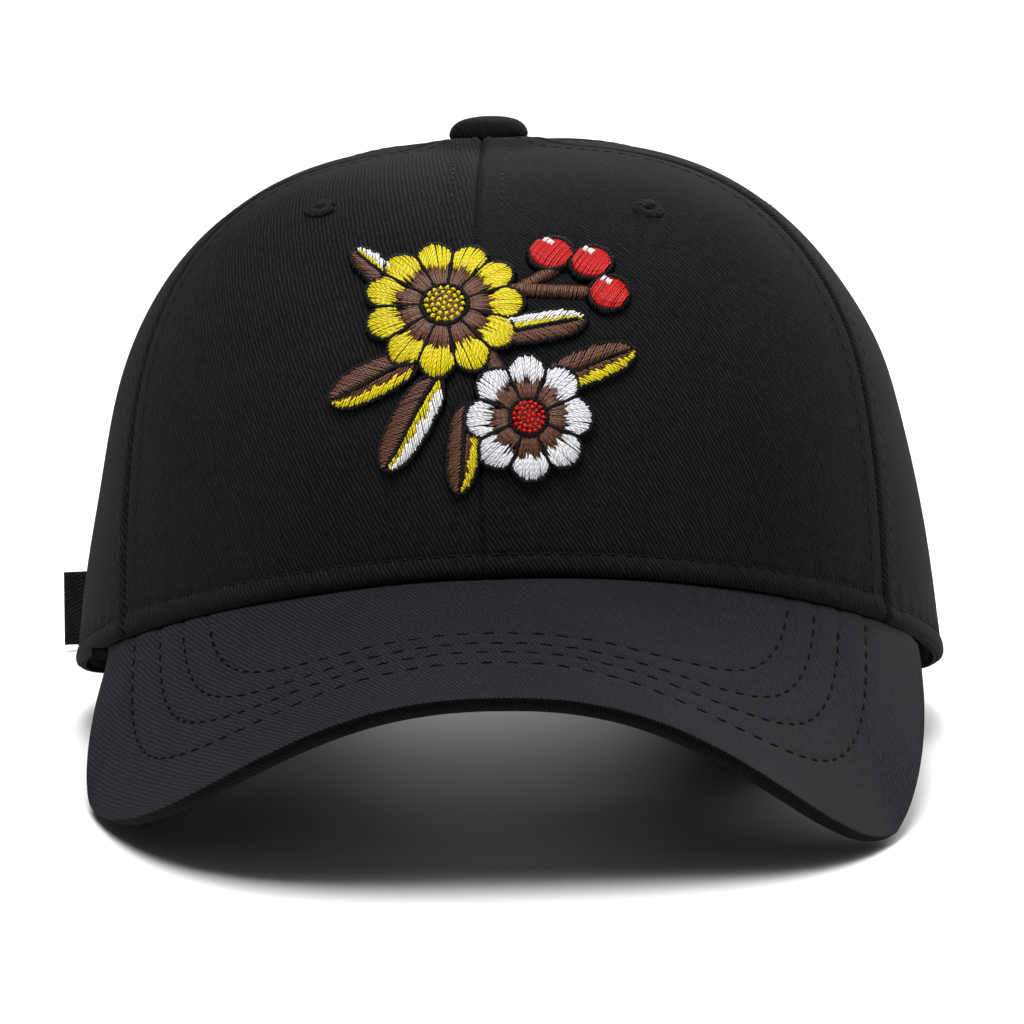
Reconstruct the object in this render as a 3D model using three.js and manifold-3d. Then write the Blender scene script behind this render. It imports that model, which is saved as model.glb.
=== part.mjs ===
// A six-panel cap in cotton twill with a curved peak, standing on the tips of its peak and the back of its rim.
// Millimetres and degrees, +Z up, the peak towards -Y. Left and right are the viewer's, facing the peak.
import * as THREE from 'three';
import { mergeVertices } from 'three/addons/utils/BufferGeometryUtils.js';
import Module from 'manifold-3d';

// Driving dimensions of the crown
const CROWN_HALF_WIDTH = 92;
const CROWN_HALF_LENGTH = 98;
const CROWN_TOP = 124;
const CROWN_ROLL = 1.7;
const WALL = 1.6;
const SQUARENESS = { front: 2.9, corner: 0.5, side: 3.0, back: 2.6 };
const LEAN = { front: 0.10, corner: -0.07, side: 0.115, back: 0.13 };
const BUTTON_PLACE = new THREE.Vector2(-0.017, 0.04);

// Driving dimensions of the rim, which is lifted at the front by the peak
const RIM_FRONT_RISE = 48.6;
const RIM_REST_TURN = 140;
const RIM_SHAPE = 1.1;

// Turns of the seams round the rim, 0 at the front, positive to the right
const SEAM_FRONT = -2.4;
const SEAM_SIDE_LEFT = -58;
const SEAM_SIDE_RIGHT = 57;
const SEAM_REAR_LEFT = -120;
const SEAM_REAR_RIGHT = 119;
const SEAM_BACK = 178.5;
const SEAM_GAP = 0.3;

// The arched opening at the back
const OPENING_HALF_TURN = 27.5;
const OPENING_REACH = 0.27;

// Small parts of the crown
const BUTTON_RADIUS = 8.3;
const BUTTON_HEIGHT = 4.4;
const BUTTON_SEAT = new THREE.Vector2(-0.009, 0.04);
const SHANK_RADIUS = 2;
const EYELET_RADIUS = 3.2;
const EYELET_BORE = 0.9;
const EYELET_BARREL = 1.3;
const FIT_GAP = 0.35;
const EYELETS = {
  front_left: { turn: -32.8, reach: 0.421 },
  front_right: { turn: 29.6, reach: 0.45 },
  side_left: { turn: -97, reach: 0.44 },
  side_right: { turn: 97, reach: 0.45 },
  back_left: { turn: -149, reach: 0.42 },
  back_right: { turn: 149, reach: 0.43 },
};

// Driving dimensions of the peak
const PEAK_THICKNESS = 3.3;
const PEAK_CORNER_TURN = 64;
const PEAK_HALF_WIDTH = 85.1;
const PEAK_REACH = 126;
const PEAK_ROOT = 43;
const PEAK_SQUARENESS = { middle: 2.36, right: 0.35 };
const PEAK_SHIFT = -2.5;
const PEAK_SKEW = 6;
const PEAK_FULLNESS = 4.2;
const PEAK_LEFT_TAPER = 0.07;
const PEAK_EDGE = { front: 38.8, tip: 2.02, leftCorner: 22.8, rightCorner: 24.9 };
const PEAK_TIP_TURN = { left: 69.4, right: 58.8 };
const PEAK_ARCH_SHAPE = 1.86;
const PEAK_CORNER_SHAPE = 1.31;

// Driving dimensions of the sweatband and the strap
const BAND_HEIGHT = 29;
const BAND_THICKNESS = 1.2;
const BAND_GAP = 0.5;
const STRAP_WIDTH = 17;
const STRAP_THICKNESS = 1.5;
const STRAP_LOW = 1.8;
const STRAP_START_TURN = 193;
const STRAP_LENGTH = 83.5;
const LOOP_THICKNESS = 1.2;
const BUCKLE_THICKNESS = 1.4;
const BUCKLE_BAR = 2;
const BUCKLE_SLOT = 6;
const BUCKLE_RAIL = 1;
const BUCKLE_START = -4;

// The front embroidery: two flowers with leaves, stems and berries
const STITCH_RELIEF = 0.7;
const DESIGN_TURN = -1.6;
const DESIGN_HEIGHT = 46;

const QUARTER = Math.PI / 2;
const wasm = await Module();
wasm.setup();

const radians = (degrees) => THREE.MathUtils.degToRad(degrees);
const smooth = (x, low, high) => THREE.MathUtils.smoothstep(x, low, high);

// Materials, one for each finish
const finish = (color, roughness, metalness = 0) =>
  new THREE.MeshStandardMaterial({ color, roughness, metalness });
const twill = finish(0x1b1c20, 0.9);
const peakTwill = finish(0x25272c, 0.9);
const bandCloth = finish(0x202125, 0.95);
const thread = finish(0x17181b, 0.7);
const metal = finish(0x8d8a80, 0.35, 1);
const stitching = finish(0xd9b32a, 0.6);

// A value that goes smoothly round the crown from its front, side and back values
function roundCrown(turn, values) {
  const c = Math.cos(turn);
  const front = c > 0 ? c * c : 0;
  const back = c < 0 ? c * c : 0;
  const corner = c > 0 ? Math.sin(2 * turn) ** 2 : 0;
  return values.front * front + values.back * back + values.side * (1 - front - back)
    + values.corner * corner;
}

// How much of the front's lift is left at a turn: 1 at the front, 0 where the rim rests
function liftAt(turn) {
  const away = Math.abs(Math.atan2(Math.sin(turn), Math.cos(turn)));
  const share = Math.min(away / radians(RIM_REST_TURN), 1);
  return (1 + Math.cos(Math.PI * share)) / 2;
}

// Height of the rim before the crown's roll; the last term keeps the resting part level after it
function rimHeight(turn) {
  const lift = liftAt(turn);
  const level = CROWN_HALF_WIDTH * Math.sin(turn) * Math.tan(radians(CROWN_ROLL));
  return RIM_FRONT_RISE * lift ** RIM_SHAPE - level * (1 - lift);
}

// The crown's outer surface. A place on it is named by a point of a flat disc, whose middle is the
// top of the dome and whose edge is the rim. Each meridian is a superellipse that leans in.
function crownPoint(disc) {
  const turn = Math.atan2(disc.x, -disc.y);
  const rise = (1 - disc.length()) * QUARTER;
  const power = roundCrown(turn, SQUARENESS);
  const scale = (Math.abs(Math.cos(rise)) ** power + Math.abs(Math.sin(rise)) ** power) ** (-1 / power);
  const up = Math.sin(rise) * scale;
  const out = Math.cos(rise) * scale * (1 - roundCrown(turn, LEAN) * up);
  const rim = rimHeight(turn);
  const point = new THREE.Vector3(
    CROWN_HALF_WIDTH * out * Math.sin(turn),
    -CROWN_HALF_LENGTH * out * Math.cos(turn),
    rim + (CROWN_TOP - rim) * up,
  );
  return point.applyAxisAngle(new THREE.Vector3(0, -1, 0), radians(CROWN_ROLL));
}

// The disc's point on the line from the button to the rim: share 0 at the button, 1 at the rim
function along(turn, share) {
  const rim = new THREE.Vector2(Math.sin(radians(turn)), -Math.cos(radians(turn)));
  return BUTTON_PLACE.clone().lerp(rim, share);
}

// Outward normal of the crown's outer surface
function crownNormal(disc) {
  const step = 0.002;
  const acrossX = crownPoint(new THREE.Vector2(disc.x + step, disc.y))
    .sub(crownPoint(new THREE.Vector2(disc.x - step, disc.y)));
  const acrossY = crownPoint(new THREE.Vector2(disc.x, disc.y + step))
    .sub(crownPoint(new THREE.Vector2(disc.x, disc.y - step)));
  return acrossX.cross(acrossY).normalize();
}

// A point a given depth inside the crown's outer surface
function wallPoint(turn, share, depth) {
  const disc = along(turn, share);
  return crownPoint(disc).addScaledVector(crownNormal(disc), -depth);
}

// Twice three times the volume, whose sign tells whether the faces point out
function signedVolume(positions, indices) {
  const [a, b, c] = [new THREE.Vector3(), new THREE.Vector3(), new THREE.Vector3()];
  let sum = 0;
  for (let i = 0; i < indices.length; i += 3) {
    a.fromArray(positions, indices[i] * 3);
    b.fromArray(positions, indices[i + 1] * 3);
    c.fromArray(positions, indices[i + 2] * 3);
    sum += a.dot(b.cross(c));
  }
  return sum;
}

// A closed geometry from points and triangles, with its faces pointing out
function closedGeometry(points, triangles) {
  const positions = points.flatMap((p) => p.toArray());
  const indices = triangles.flat();
  if (signedVolume(positions, indices) < 0) indices.reverse();
  const geometry = new THREE.BufferGeometry();
  geometry.setAttribute('position', new THREE.Float32BufferAttribute(positions, 3));
  geometry.setIndex(indices);
  return geometry;
}

// A wall between two grids of points with the same rows and columns, closed at its four edges
function wallGeometry(outer, inner) {
  const rows = outer.length;
  const columns = outer[0].length;
  const at = (side, row, column) => (side * rows + row) * columns + column;
  const points = [...outer.flat(), ...inner.flat()];
  const triangles = [];
  const quad = (a, b, c, d) => triangles.push([a, b, c], [a, c, d]);
  for (let r = 0; r < rows - 1; r++) {
    for (let c = 0; c < columns - 1; c++) {
      quad(at(0, r, c), at(0, r, c + 1), at(0, r + 1, c + 1), at(0, r + 1, c));
      quad(at(1, r, c), at(1, r + 1, c), at(1, r + 1, c + 1), at(1, r, c + 1));
    }
    quad(at(0, r, 0), at(0, r + 1, 0), at(1, r + 1, 0), at(1, r, 0));
    const last = columns - 1;
    quad(at(0, r, last), at(1, r, last), at(1, r + 1, last), at(0, r + 1, last));
  }
  for (let c = 0; c < columns - 1; c++) {
    const last = rows - 1;
    quad(at(0, 0, c), at(1, 0, c), at(1, 0, c + 1), at(0, 0, c + 1));
    quad(at(0, last, c), at(0, last, c + 1), at(1, last, c + 1), at(1, last, c));
  }
  return closedGeometry(points, triangles);
}

// A grid of points from a function of two shares between 0 and 1
function grid(rows, columns, place) {
  return Array.from({ length: rows + 1 }, (_, r) =>
    Array.from({ length: columns + 1 }, (__, c) => place(r / rows, c / columns)));
}

// The same solid as a manifold, for joining and cutting
function toManifold(geometry) {
  const bare = geometry.clone();
  bare.deleteAttribute('normal');
  bare.deleteAttribute('uv');
  const merged = mergeVertices(bare, 1e-4);
  return new wasm.Manifold(new wasm.Mesh({
    numProp: 3,
    vertProperties: merged.attributes.position.array,
    triVerts: new Uint32Array(merged.index.array),
  }));
}

function fromManifold(solid) {
  const mesh = solid.getMesh();
  const geometry = new THREE.BufferGeometry();
  geometry.setAttribute('position', new THREE.BufferAttribute(mesh.vertProperties, 3));
  geometry.setIndex(new THREE.BufferAttribute(mesh.triVerts, 1));
  return geometry;
}

const cap = new THREE.Group();

function addPart(name, geometry, material) {
  const mesh = new THREE.Mesh(geometry, material);
  mesh.name = name;
  cap.add(mesh);
  return mesh;
}

// Turns an object so that its own +Z follows the crown's normal at a place on the crown
function standOnCrown(object, disc) {
  object.position.copy(crownPoint(disc));
  object.quaternion.setFromUnitVectors(new THREE.Vector3(0, 0, 1), crownNormal(disc));
  return object;
}

// How far down the line from the button a panel goes: to the rim, or to the arch of the opening
function panelEnd(turn) {
  const away = Math.abs(THREE.MathUtils.euclideanModulo(turn - SEAM_BACK + 180, 360) - 180);
  const share = Math.min(away / OPENING_HALF_TURN, 1);
  return 1 - OPENING_REACH * Math.sqrt(1 - share * share);
}

// Column turns of a panel: even, or crowded towards the end of the opening on a back panel
function panelTurn(from, to, share, opening) {
  if (!opening) return THREE.MathUtils.lerp(from, to, share);
  const bent = 0.62;
  const edge = from + Math.sign(to - from) * OPENING_HALF_TURN;
  if (share < bent) return from + (edge - from) * Math.sin(share / bent * QUARTER);
  return THREE.MathUtils.lerp(edge, to, (share - bent) / (1 - bent));
}

// One panel of the crown, with its seam allowance of air at both sides and its eyelet hole
function panel(name, from, to, opening = false) {
  const rows = 13;
  const columns = opening ? 13 : 12;
  const start = 0.035;
  const place = (depth) => (down, across) => {
    const turn = panelTurn(from, to, across, opening);
    const share = THREE.MathUtils.lerp(start, panelEnd(turn), down);
    const aside = THREE.MathUtils.radToDeg(SEAM_GAP / 2 / (CROWN_HALF_WIDTH * share));
    const inset = Math.sign(to - from) * aside * (1 - 2 * across);
    const point = wallPoint(turn + inset, share, depth);
    const cutLevel = down === 1 && panelEnd(turn) > 0.999;
    if (cutLevel) point.z = wallPoint(turn + inset, share, 0).z;
    return point;
  };
  const shell = toManifold(wallGeometry(grid(rows, columns, place(0)), grid(rows, columns, place(WALL))));
  const { turn, reach } = EYELETS[name];
  const drill = new THREE.CylinderGeometry(EYELET_BARREL + 0.3, EYELET_BARREL + 0.3, 10, 12);
  drill.rotateX(QUARTER);
  const bit = standOnCrown(new THREE.Object3D(), along(turn, reach));
  bit.updateMatrix();
  drill.applyMatrix4(bit.matrix);
  return fromManifold(shell.subtract(toManifold(drill)));
}

// The stitched ring of a vent hole: a flat ring on the cloth with a short barrel through it
function eyeletGeometry() {
  const profile = [
    [EYELET_BORE, -WALL - 0.3], [EYELET_BARREL, -WALL - 0.3], [EYELET_BARREL, FIT_GAP],
    [EYELET_RADIUS, FIT_GAP], [EYELET_RADIUS, FIT_GAP + 0.3], [EYELET_RADIUS - 0.9, FIT_GAP + 0.7],
    [EYELET_BORE, FIT_GAP + 0.5], [EYELET_BORE, -WALL - 0.3],
  ];
  const geometry = new THREE.LatheGeometry(profile.map(([r, z]) => new THREE.Vector2(r, z)), 12);
  return geometry.rotateX(QUARTER);
}

// The covered button: a low dome with a rounded edge, on a shank with a small back plate
function buttonGeometry() {
  const base = 0.5;
  const profile = [[0, -4.2], [4, -4.2], [4, -3.2], [SHANK_RADIUS, -3.2], [SHANK_RADIUS, base],
    [BUTTON_RADIUS - 1, base], [BUTTON_RADIUS, base + 0.9], [BUTTON_RADIUS, base + 1.9],
    [BUTTON_RADIUS - 1.1, BUTTON_HEIGHT - 0.9], [BUTTON_RADIUS - 3.4, BUTTON_HEIGHT - 0.2],
    [0, BUTTON_HEIGHT + 0.1]];
  const geometry = new THREE.LatheGeometry(profile.map(([r, z]) => new THREE.Vector2(r, z)), 20);
  return geometry.rotateX(QUARTER);
}

// Height of the peak's outer edge: an arch down to the resting tips, then up to the rear corners
function peakEdgeHeight(around) {
  const right = around >= 0;
  const tipTurn = right ? PEAK_TIP_TURN.right : PEAK_TIP_TURN.left;
  const corner = right ? PEAK_EDGE.rightCorner : PEAK_EDGE.leftCorner;
  const away = Math.abs(around);
  if (away < tipTurn) {
    const arch = Math.cos(away / tipTurn * QUARTER) ** PEAK_ARCH_SHAPE;
    return PEAK_EDGE.tip + (PEAK_EDGE.front - PEAK_EDGE.tip) * arch;
  }
  const climb = ((away - tipTurn) / (90 - tipTurn)) ** PEAK_CORNER_SHAPE;
  return PEAK_EDGE.tip + (corner - PEAK_EDGE.tip) * climb;
}

// A point of the peak's outer edge, -90 and 90 degrees at its rear corners: a superellipse in plan,
// squarer on the right, fuller between its front and its sides, and drawn in at the left corner
function peakEdge(around) {
  const turn = radians(around);
  const power = 2 / (PEAK_SQUARENESS.middle + PEAK_SQUARENESS.right * Math.sin(turn));
  const bulge = (value) => Math.sign(value) * Math.abs(value) ** power;
  const behindTip = Math.max(-around - PEAK_TIP_TURN.left, 0) / (90 - PEAK_TIP_TURN.left);
  const width = PEAK_HALF_WIDTH * (1 - PEAK_LEFT_TAPER * behindTip ** 1.5);
  const slanted = Math.sin(2 * turn);
  return new THREE.Vector3(
    PEAK_SHIFT + width * bulge(Math.sin(turn)),
    -PEAK_ROOT - PEAK_REACH * bulge(Math.cos(turn)) + PEAK_SKEW * slanted - PEAK_FULLNESS * slanted ** 2,
    peakEdgeHeight(around),
  );
}

// The peak's upper surface: straight lines from the rim to the outer edge
function peakPoint(across, forward) {
  const side = 2 * across - 1;
  const rim = crownPoint(along(PEAK_CORNER_TURN * side, 1));
  const root = new THREE.Vector3(rim.x * 0.998, rim.y * 0.998, rim.z - FIT_GAP - 0.1);
  return root.lerp(peakEdge(90 * side), forward);
}

function peakGeometry() {
  const rows = 6;
  const columns = 34;
  const step = 0.01;
  const top = grid(rows, columns, (forward, across) => peakPoint(across, forward));
  const bottom = grid(rows, columns, (forward, across) => {
    const a = Math.min(Math.max(across, step), 1 - step);
    const lengthwise = peakPoint(a, 1).sub(peakPoint(a, 0));
    const crosswise = peakPoint(a + step, forward).sub(peakPoint(a - step, forward));
    const normal = crosswise.cross(lengthwise).normalize();
    return peakPoint(across, forward).addScaledVector(normal, Math.sign(-normal.z) * PEAK_THICKNESS);
  });
  return wallGeometry(top, bottom);
}

// Depth of the sweatband's outer face, with room for the strap's ends beside the opening
function bandDepth(turn) {
  const away = Math.abs(THREE.MathUtils.euclideanModulo(turn - SEAM_BACK + 180, 360) - 180);
  const room = STRAP_THICKNESS + FIT_GAP;
  return WALL + BAND_GAP + room * (1 - smooth(away, OPENING_HALF_TURN + 10, OPENING_HALF_TURN + 18));
}

function sweatbandGeometry() {
  const rows = 3;
  const columns = 60;
  const from = SEAM_BACK - 360 + OPENING_HALF_TURN + 0.6;
  const to = SEAM_BACK - OPENING_HALF_TURN - 0.6;
  const place = (extra) => (down, across) => {
    const turn = THREE.MathUtils.lerp(from, to, across);
    const reach = 1 / (CROWN_TOP - rimHeight(radians(turn))) / QUARTER;
    const share = 1 - reach * THREE.MathUtils.lerp(BAND_HEIGHT, 1.2, down);
    return wallPoint(turn, share, bandDepth(turn) + extra);
  };
  return wallGeometry(grid(rows, columns, place(0)), grid(rows, columns, place(BAND_THICKNESS)));
}

// The strap's guide line seen from above: round the opening, then straight off at a tangent
const GUIDE_WIDTH = CROWN_HALF_WIDTH - WALL / 2;
const GUIDE_LENGTH = CROWN_HALF_LENGTH - WALL / 2;

function guideRound(turnDegrees, offset) {
  const turn = radians(turnDegrees);
  const out = new THREE.Vector2(Math.sin(turn) / GUIDE_WIDTH, -Math.cos(turn) / GUIDE_LENGTH).normalize();
  return new THREE.Vector2(GUIDE_WIDTH * Math.sin(turn), -GUIDE_LENGTH * Math.cos(turn))
    .addScaledVector(out, offset);
}

const LINE_START = guideRound(STRAP_START_TURN, 0);
const LINE_OUT = guideRound(STRAP_START_TURN, 1).sub(LINE_START);
const LINE_AHEAD = new THREE.Vector2(-LINE_OUT.y, LINE_OUT.x);

function guideLine(distance, offset) {
  return LINE_START.clone().addScaledVector(LINE_AHEAD, distance).addScaledVector(LINE_OUT, offset);
}

// A place behind the panels at a height, for the sewn ends of the strap and of its loop
function behindPanel(turn, height, depth) {
  const share = 1 - height / (CROWN_TOP * QUARTER);
  return wallPoint(turn, share, WALL + FIT_GAP + depth);
}

// A flat band standing on edge along a list of stations, each with its lower and upper middle point
function ribbonGeometry(stations, thickness) {
  const face = (side) => stations.map((station, i) => {
    const before = stations[Math.max(i - 1, 0)];
    const after = stations[Math.min(i + 1, stations.length - 1)];
    return ['low', 'high'].map((edge) => {
      const ahead = after[edge].clone().sub(before[edge]).setZ(0).normalize();
      const out = new THREE.Vector3(ahead.y, -ahead.x, 0);
      return station[edge].clone().addScaledVector(out, side * thickness / 2);
    });
  });
  return wallGeometry(face(1), face(-1));
}

function station(flat, low, high) {
  return { low: new THREE.Vector3(flat.x, flat.y, low), high: new THREE.Vector3(flat.x, flat.y, high) };
}

function mixStations(a, b, share) {
  return { low: a.low.clone().lerp(b.low, share), high: a.high.clone().lerp(b.high, share) };
}

const STRAP_HIGH = STRAP_LOW + STRAP_WIDTH;
const UNDER = -(BUCKLE_THICKNESS / 2 + FIT_GAP + STRAP_THICKNESS / 2);
const OVER = -UNDER;
const OVER_LOOP = OVER + LOOP_THICKNESS + FIT_GAP;
const BUCKLE_LENGTH = 3 * BUCKLE_BAR + 2 * BUCKLE_SLOT;

// The strap: sewn behind the right back panel, across the opening, up through the buckle, and a tail
function strapGeometry() {
  const stations = [];
  const openingEdge = SEAM_BACK - OPENING_HALF_TURN;
  for (let turn = openingEdge - 8; turn < STRAP_START_TURN - 3; turn += 2) {
    const sewn = { low: behindPanel(turn, STRAP_LOW, STRAP_THICKNESS / 2),
      high: behindPanel(turn, STRAP_HIGH, STRAP_THICKNESS / 2) };
    const open = station(guideRound(turn, UNDER), STRAP_LOW, STRAP_HIGH);
    stations.push(mixStations(sewn, open, smooth(turn, openingEdge + 1, openingEdge + 12)));
  }
  const slotStart = BUCKLE_START + BUCKLE_BAR;
  const loopStart = BUCKLE_START + BUCKLE_LENGTH - BUCKLE_BAR - FIT_GAP - LOOP_THICKNESS;
  for (let distance = BUCKLE_START; distance < STRAP_LENGTH; distance += distance < 20 ? 1 : 6) {
    const rise = (OVER - UNDER) * smooth(distance, slotStart, slotStart + BUCKLE_SLOT);
    const hump = (OVER_LOOP - OVER) * smooth(distance, loopStart - 5, loopStart - 0.5);
    stations.push(station(guideLine(distance, UNDER + rise + hump), STRAP_LOW, STRAP_HIGH));
  }
  stations.push(station(guideLine(STRAP_LENGTH, OVER_LOOP), STRAP_LOW + 0.4, STRAP_HIGH - 0.4));
  return ribbonGeometry(stations, STRAP_THICKNESS);
}

// The loop that holds the buckle: sewn behind the left back panel, folded round the buckle's far bar
function strapLoopGeometry() {
  const stations = [];
  const foldMiddle = BUCKLE_START + BUCKLE_LENGTH - BUCKLE_BAR / 2;
  const side = BUCKLE_THICKNESS / 2 + FIT_GAP + LOOP_THICKNESS / 2;
  const fold = BUCKLE_BAR / 2 + FIT_GAP + LOOP_THICKNESS / 2;
  const openingEdge = SEAM_BACK + OPENING_HALF_TURN;
  const last = foldMiddle + 6;
  for (let turn = openingEdge + 8; turn > openingEdge - 3; turn -= 2) {
    stations.push({ low: behindPanel(turn, STRAP_LOW, LOOP_THICKNESS / 2),
      high: behindPanel(turn, STRAP_HIGH, LOOP_THICKNESS / 2) });
  }
  stations.push(station(guideLine(foldMiddle + 1, -side), STRAP_LOW, STRAP_HIGH));
  for (let angle = -90; angle <= 90; angle += 15) {
    const ahead = foldMiddle - fold * Math.cos(radians(angle));
    stations.push(station(guideLine(ahead, side * Math.sin(radians(angle))), STRAP_LOW, STRAP_HIGH));
  }
  for (let distance = foldMiddle + 1; distance <= last; distance += 1) {
    const settle = smooth(distance, foldMiddle + 1, last);
    stations.push(station(guideLine(distance, side - 0.5 * settle), STRAP_LOW, STRAP_HIGH));
  }
  return ribbonGeometry(stations, LOOP_THICKNESS);
}

// The slide buckle: a flat frame with a bar between its two slots
function buckleMesh() {
  const height = STRAP_WIDTH + 2 * FIT_GAP + 2 * BUCKLE_RAIL;
  const block = (length, tall, thick, x, y) =>
    toManifold(new THREE.BoxGeometry(length, tall, thick).translate(x + length / 2, y + tall / 2, 0));
  const slot = (x) =>
    block(BUCKLE_SLOT, height - 2 * BUCKLE_RAIL, BUCKLE_THICKNESS * 2, x, BUCKLE_RAIL);
  const plate = block(BUCKLE_LENGTH, height, BUCKLE_THICKNESS, 0, 0);
  const frame = fromManifold(plate.subtract(slot(BUCKLE_BAR))
    .subtract(slot(2 * BUCKLE_BAR + BUCKLE_SLOT)));
  const mesh = addPart('buckle', frame, metal);
  const origin = guideLine(BUCKLE_START, 0);
  const ahead = new THREE.Vector3(LINE_AHEAD.x, LINE_AHEAD.y, 0);
  const up = new THREE.Vector3(0, 0, 1);
  const basis = new THREE.Matrix4().makeBasis(ahead, up, ahead.clone().cross(up));
  mesh.quaternion.setFromRotationMatrix(basis);
  mesh.position.set(origin.x, origin.y, STRAP_LOW - FIT_GAP - BUCKLE_RAIL);
  return mesh;
}

// Arc length up the front of the crown from the rim, as a table of shares of the way to the button
const FRONT_TABLE = (() => {
  const steps = 160;
  const table = [{ share: 1, height: 0 }];
  let last = crownPoint(along(DESIGN_TURN, 1));
  for (let i = 1; i <= steps; i++) {
    const share = 1 - 0.8 * i / steps;
    const point = crownPoint(along(DESIGN_TURN, share));
    table.push({ share, height: table[i - 1].height + point.distanceTo(last) });
    last = point;
  }
  return table;
})();

// A point of the front embroidery: across and up in millimetres from its middle, and above the cloth
function designPoint(x, y, above) {
  const height = DESIGN_HEIGHT + y;
  const i = Math.max(1, FRONT_TABLE.findIndex((row) => row.height >= height));
  const [low, high] = [FRONT_TABLE[i - 1], FRONT_TABLE[i]];
  const share = THREE.MathUtils.mapLinear(height, low.height, high.height, low.share, high.share);
  const middle = crownPoint(along(DESIGN_TURN, share));
  const next = crownPoint(along(DESIGN_TURN + 1, share));
  return wallPoint(DESIGN_TURN + x / middle.distanceTo(next), share, -above);
}

// A raised patch from a polar outline: radius as a function of the turn round its own middle.
// The lift sets it a little above its neighbours, so that their faces cross cleanly when joined.
function patch(x, y, radiusAt, spokes, rings, lift) {
  const place = (above) => {
    const points = [designPoint(x, y, above)];
    for (let ring = 1; ring <= rings; ring++) {
      for (let spoke = 0; spoke < spokes; spoke++) {
        const turn = 2 * Math.PI * spoke / spokes;
        const radius = radiusAt(turn) * ring / rings;
        points.push(designPoint(x + radius * Math.cos(turn), y + radius * Math.sin(turn), above));
      }
    }
    return points;
  };
  const outer = place(FIT_GAP + lift + STITCH_RELIEF);
  const inner = place(FIT_GAP + lift);
  const base = outer.length;
  const at = (ring, spoke) => 1 + (ring - 1) * spokes + (spoke % spokes);
  const triangles = [];
  const both = (a, b, c) => triangles.push([a, b, c], [base + a, base + c, base + b]);
  for (let spoke = 0; spoke < spokes; spoke++) {
    both(0, at(1, spoke), at(1, spoke + 1));
    for (let ring = 1; ring < rings; ring++) {
      both(at(ring, spoke), at(ring + 1, spoke), at(ring + 1, spoke + 1));
      both(at(ring, spoke), at(ring + 1, spoke + 1), at(ring, spoke + 1));
    }
    const [a, b] = [at(rings, spoke), at(rings, spoke + 1)];
    triangles.push([a, base + a, base + b], [a, base + b, b]);
  }
  return toManifold(closedGeometry([...outer, ...inner], triangles));
}

// A flower's outline: petals as round lobes
const flower = (radius, petals, depth, start = 0) => (turn) =>
  radius * (1 - depth + depth * Math.abs(Math.cos(petals / 2 * (turn - start))) ** 0.7);

// A leaf's outline from its own middle, pointing along a direction
const leaf = (length, width, direction) => (turn) => {
  const away = turn - radians(direction);
  const flat = 1 / Math.hypot(Math.cos(away) / (length / 2), Math.sin(away) / (width / 2));
  return flat * (0.82 + 0.18 * Math.abs(Math.cos(away)) ** 4);
};

const ROUND = (radius) => () => radius;

// Places of the design's patches, in millimetres from its middle; they overlap, so all is one piece
const FLOWERS = [
  { x: -7, y: 8.6, radius: 15.8, petals: 11, depth: 0.2, spokes: 44, rings: 3 },
  { x: 8.5, y: -15.3, radius: 12.6, petals: 8, depth: 0.22, spokes: 32, rings: 2 },
];
const LEAVES = [
  { x: -21.2, y: -6.2, length: 19, width: 9.5, direction: 203 },
  { x: -14.2, y: -15.2, length: 21, width: 10, direction: 238 },
  { x: -4.2, y: -20.8, length: 18, width: 8, direction: 262 },
  { x: 20.6, y: -5.2, length: 19, width: 9, direction: 20 },
  { x: -19.4, y: 17.2, length: 15, width: 7.5, direction: 130 },
  { x: 11.5, y: 3.2, length: 18, width: 8, direction: 8 },
];
const STEMS = [
  { x: 10.5, y: 14, length: 22, width: 2.6, direction: 34 },
  { x: 14, y: 11.4, length: 24, width: 2.6, direction: -6 },
  { x: 2, y: -4.5, length: 24, width: 4.4, direction: -60 },
];
const BERRIES = [
  { x: 14, y: 20.4, radius: 4.5 },
  { x: 21.6, y: 17.4, radius: 4.2 },
  { x: 24.8, y: 9.9, radius: 4 },
];

function embroideryGeometry() {
  const pieces = [
    ...FLOWERS.map((f, i) =>
      patch(f.x, f.y, flower(f.radius, f.petals, f.depth), f.spokes, f.rings, 0.25 + 0.1 * i)),
    ...LEAVES.map((l, i) => patch(l.x, l.y, leaf(l.length, l.width, l.direction), 16, 1, 0.02 * i)),
    ...STEMS.map((l, i) => patch(l.x, l.y, leaf(l.length, l.width, l.direction), 10, 1, 0.03 + 0.02 * i)),
    ...BERRIES.map((b, i) => patch(b.x, b.y, ROUND(b.radius), 12, 1, 0.15 + 0.02 * i)),
  ];
  return fromManifold(pieces.reduce((all, piece) => all.add(piece)));
}

// The parts, in place
addPart('panel_front_left', panel('front_left', SEAM_FRONT, SEAM_SIDE_LEFT), twill);
addPart('panel_front_right', panel('front_right', SEAM_FRONT, SEAM_SIDE_RIGHT), twill);
addPart('panel_side_left', panel('side_left', SEAM_SIDE_LEFT, SEAM_REAR_LEFT), twill);
addPart('panel_side_right', panel('side_right', SEAM_SIDE_RIGHT, SEAM_REAR_RIGHT), twill);
addPart('panel_back_left', panel('back_left', SEAM_BACK - 360, SEAM_REAR_LEFT, true), twill);
addPart('panel_back_right', panel('back_right', SEAM_BACK, SEAM_REAR_RIGHT, true), twill);
standOnCrown(addPart('button', buttonGeometry(), twill), BUTTON_SEAT);
for (const [name, { turn, reach }] of Object.entries(EYELETS)) {
  standOnCrown(addPart(`eyelet_${name}`, eyeletGeometry(), thread), along(turn, reach));
}
addPart('peak', peakGeometry(), peakTwill);
addPart('sweatband', sweatbandGeometry(), bandCloth);
addPart('strap', strapGeometry(), twill);
addPart('strap_loop', strapLoopGeometry(), twill);
buckleMesh();
addPart('embroidery', embroideryGeometry(), stitching);

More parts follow.
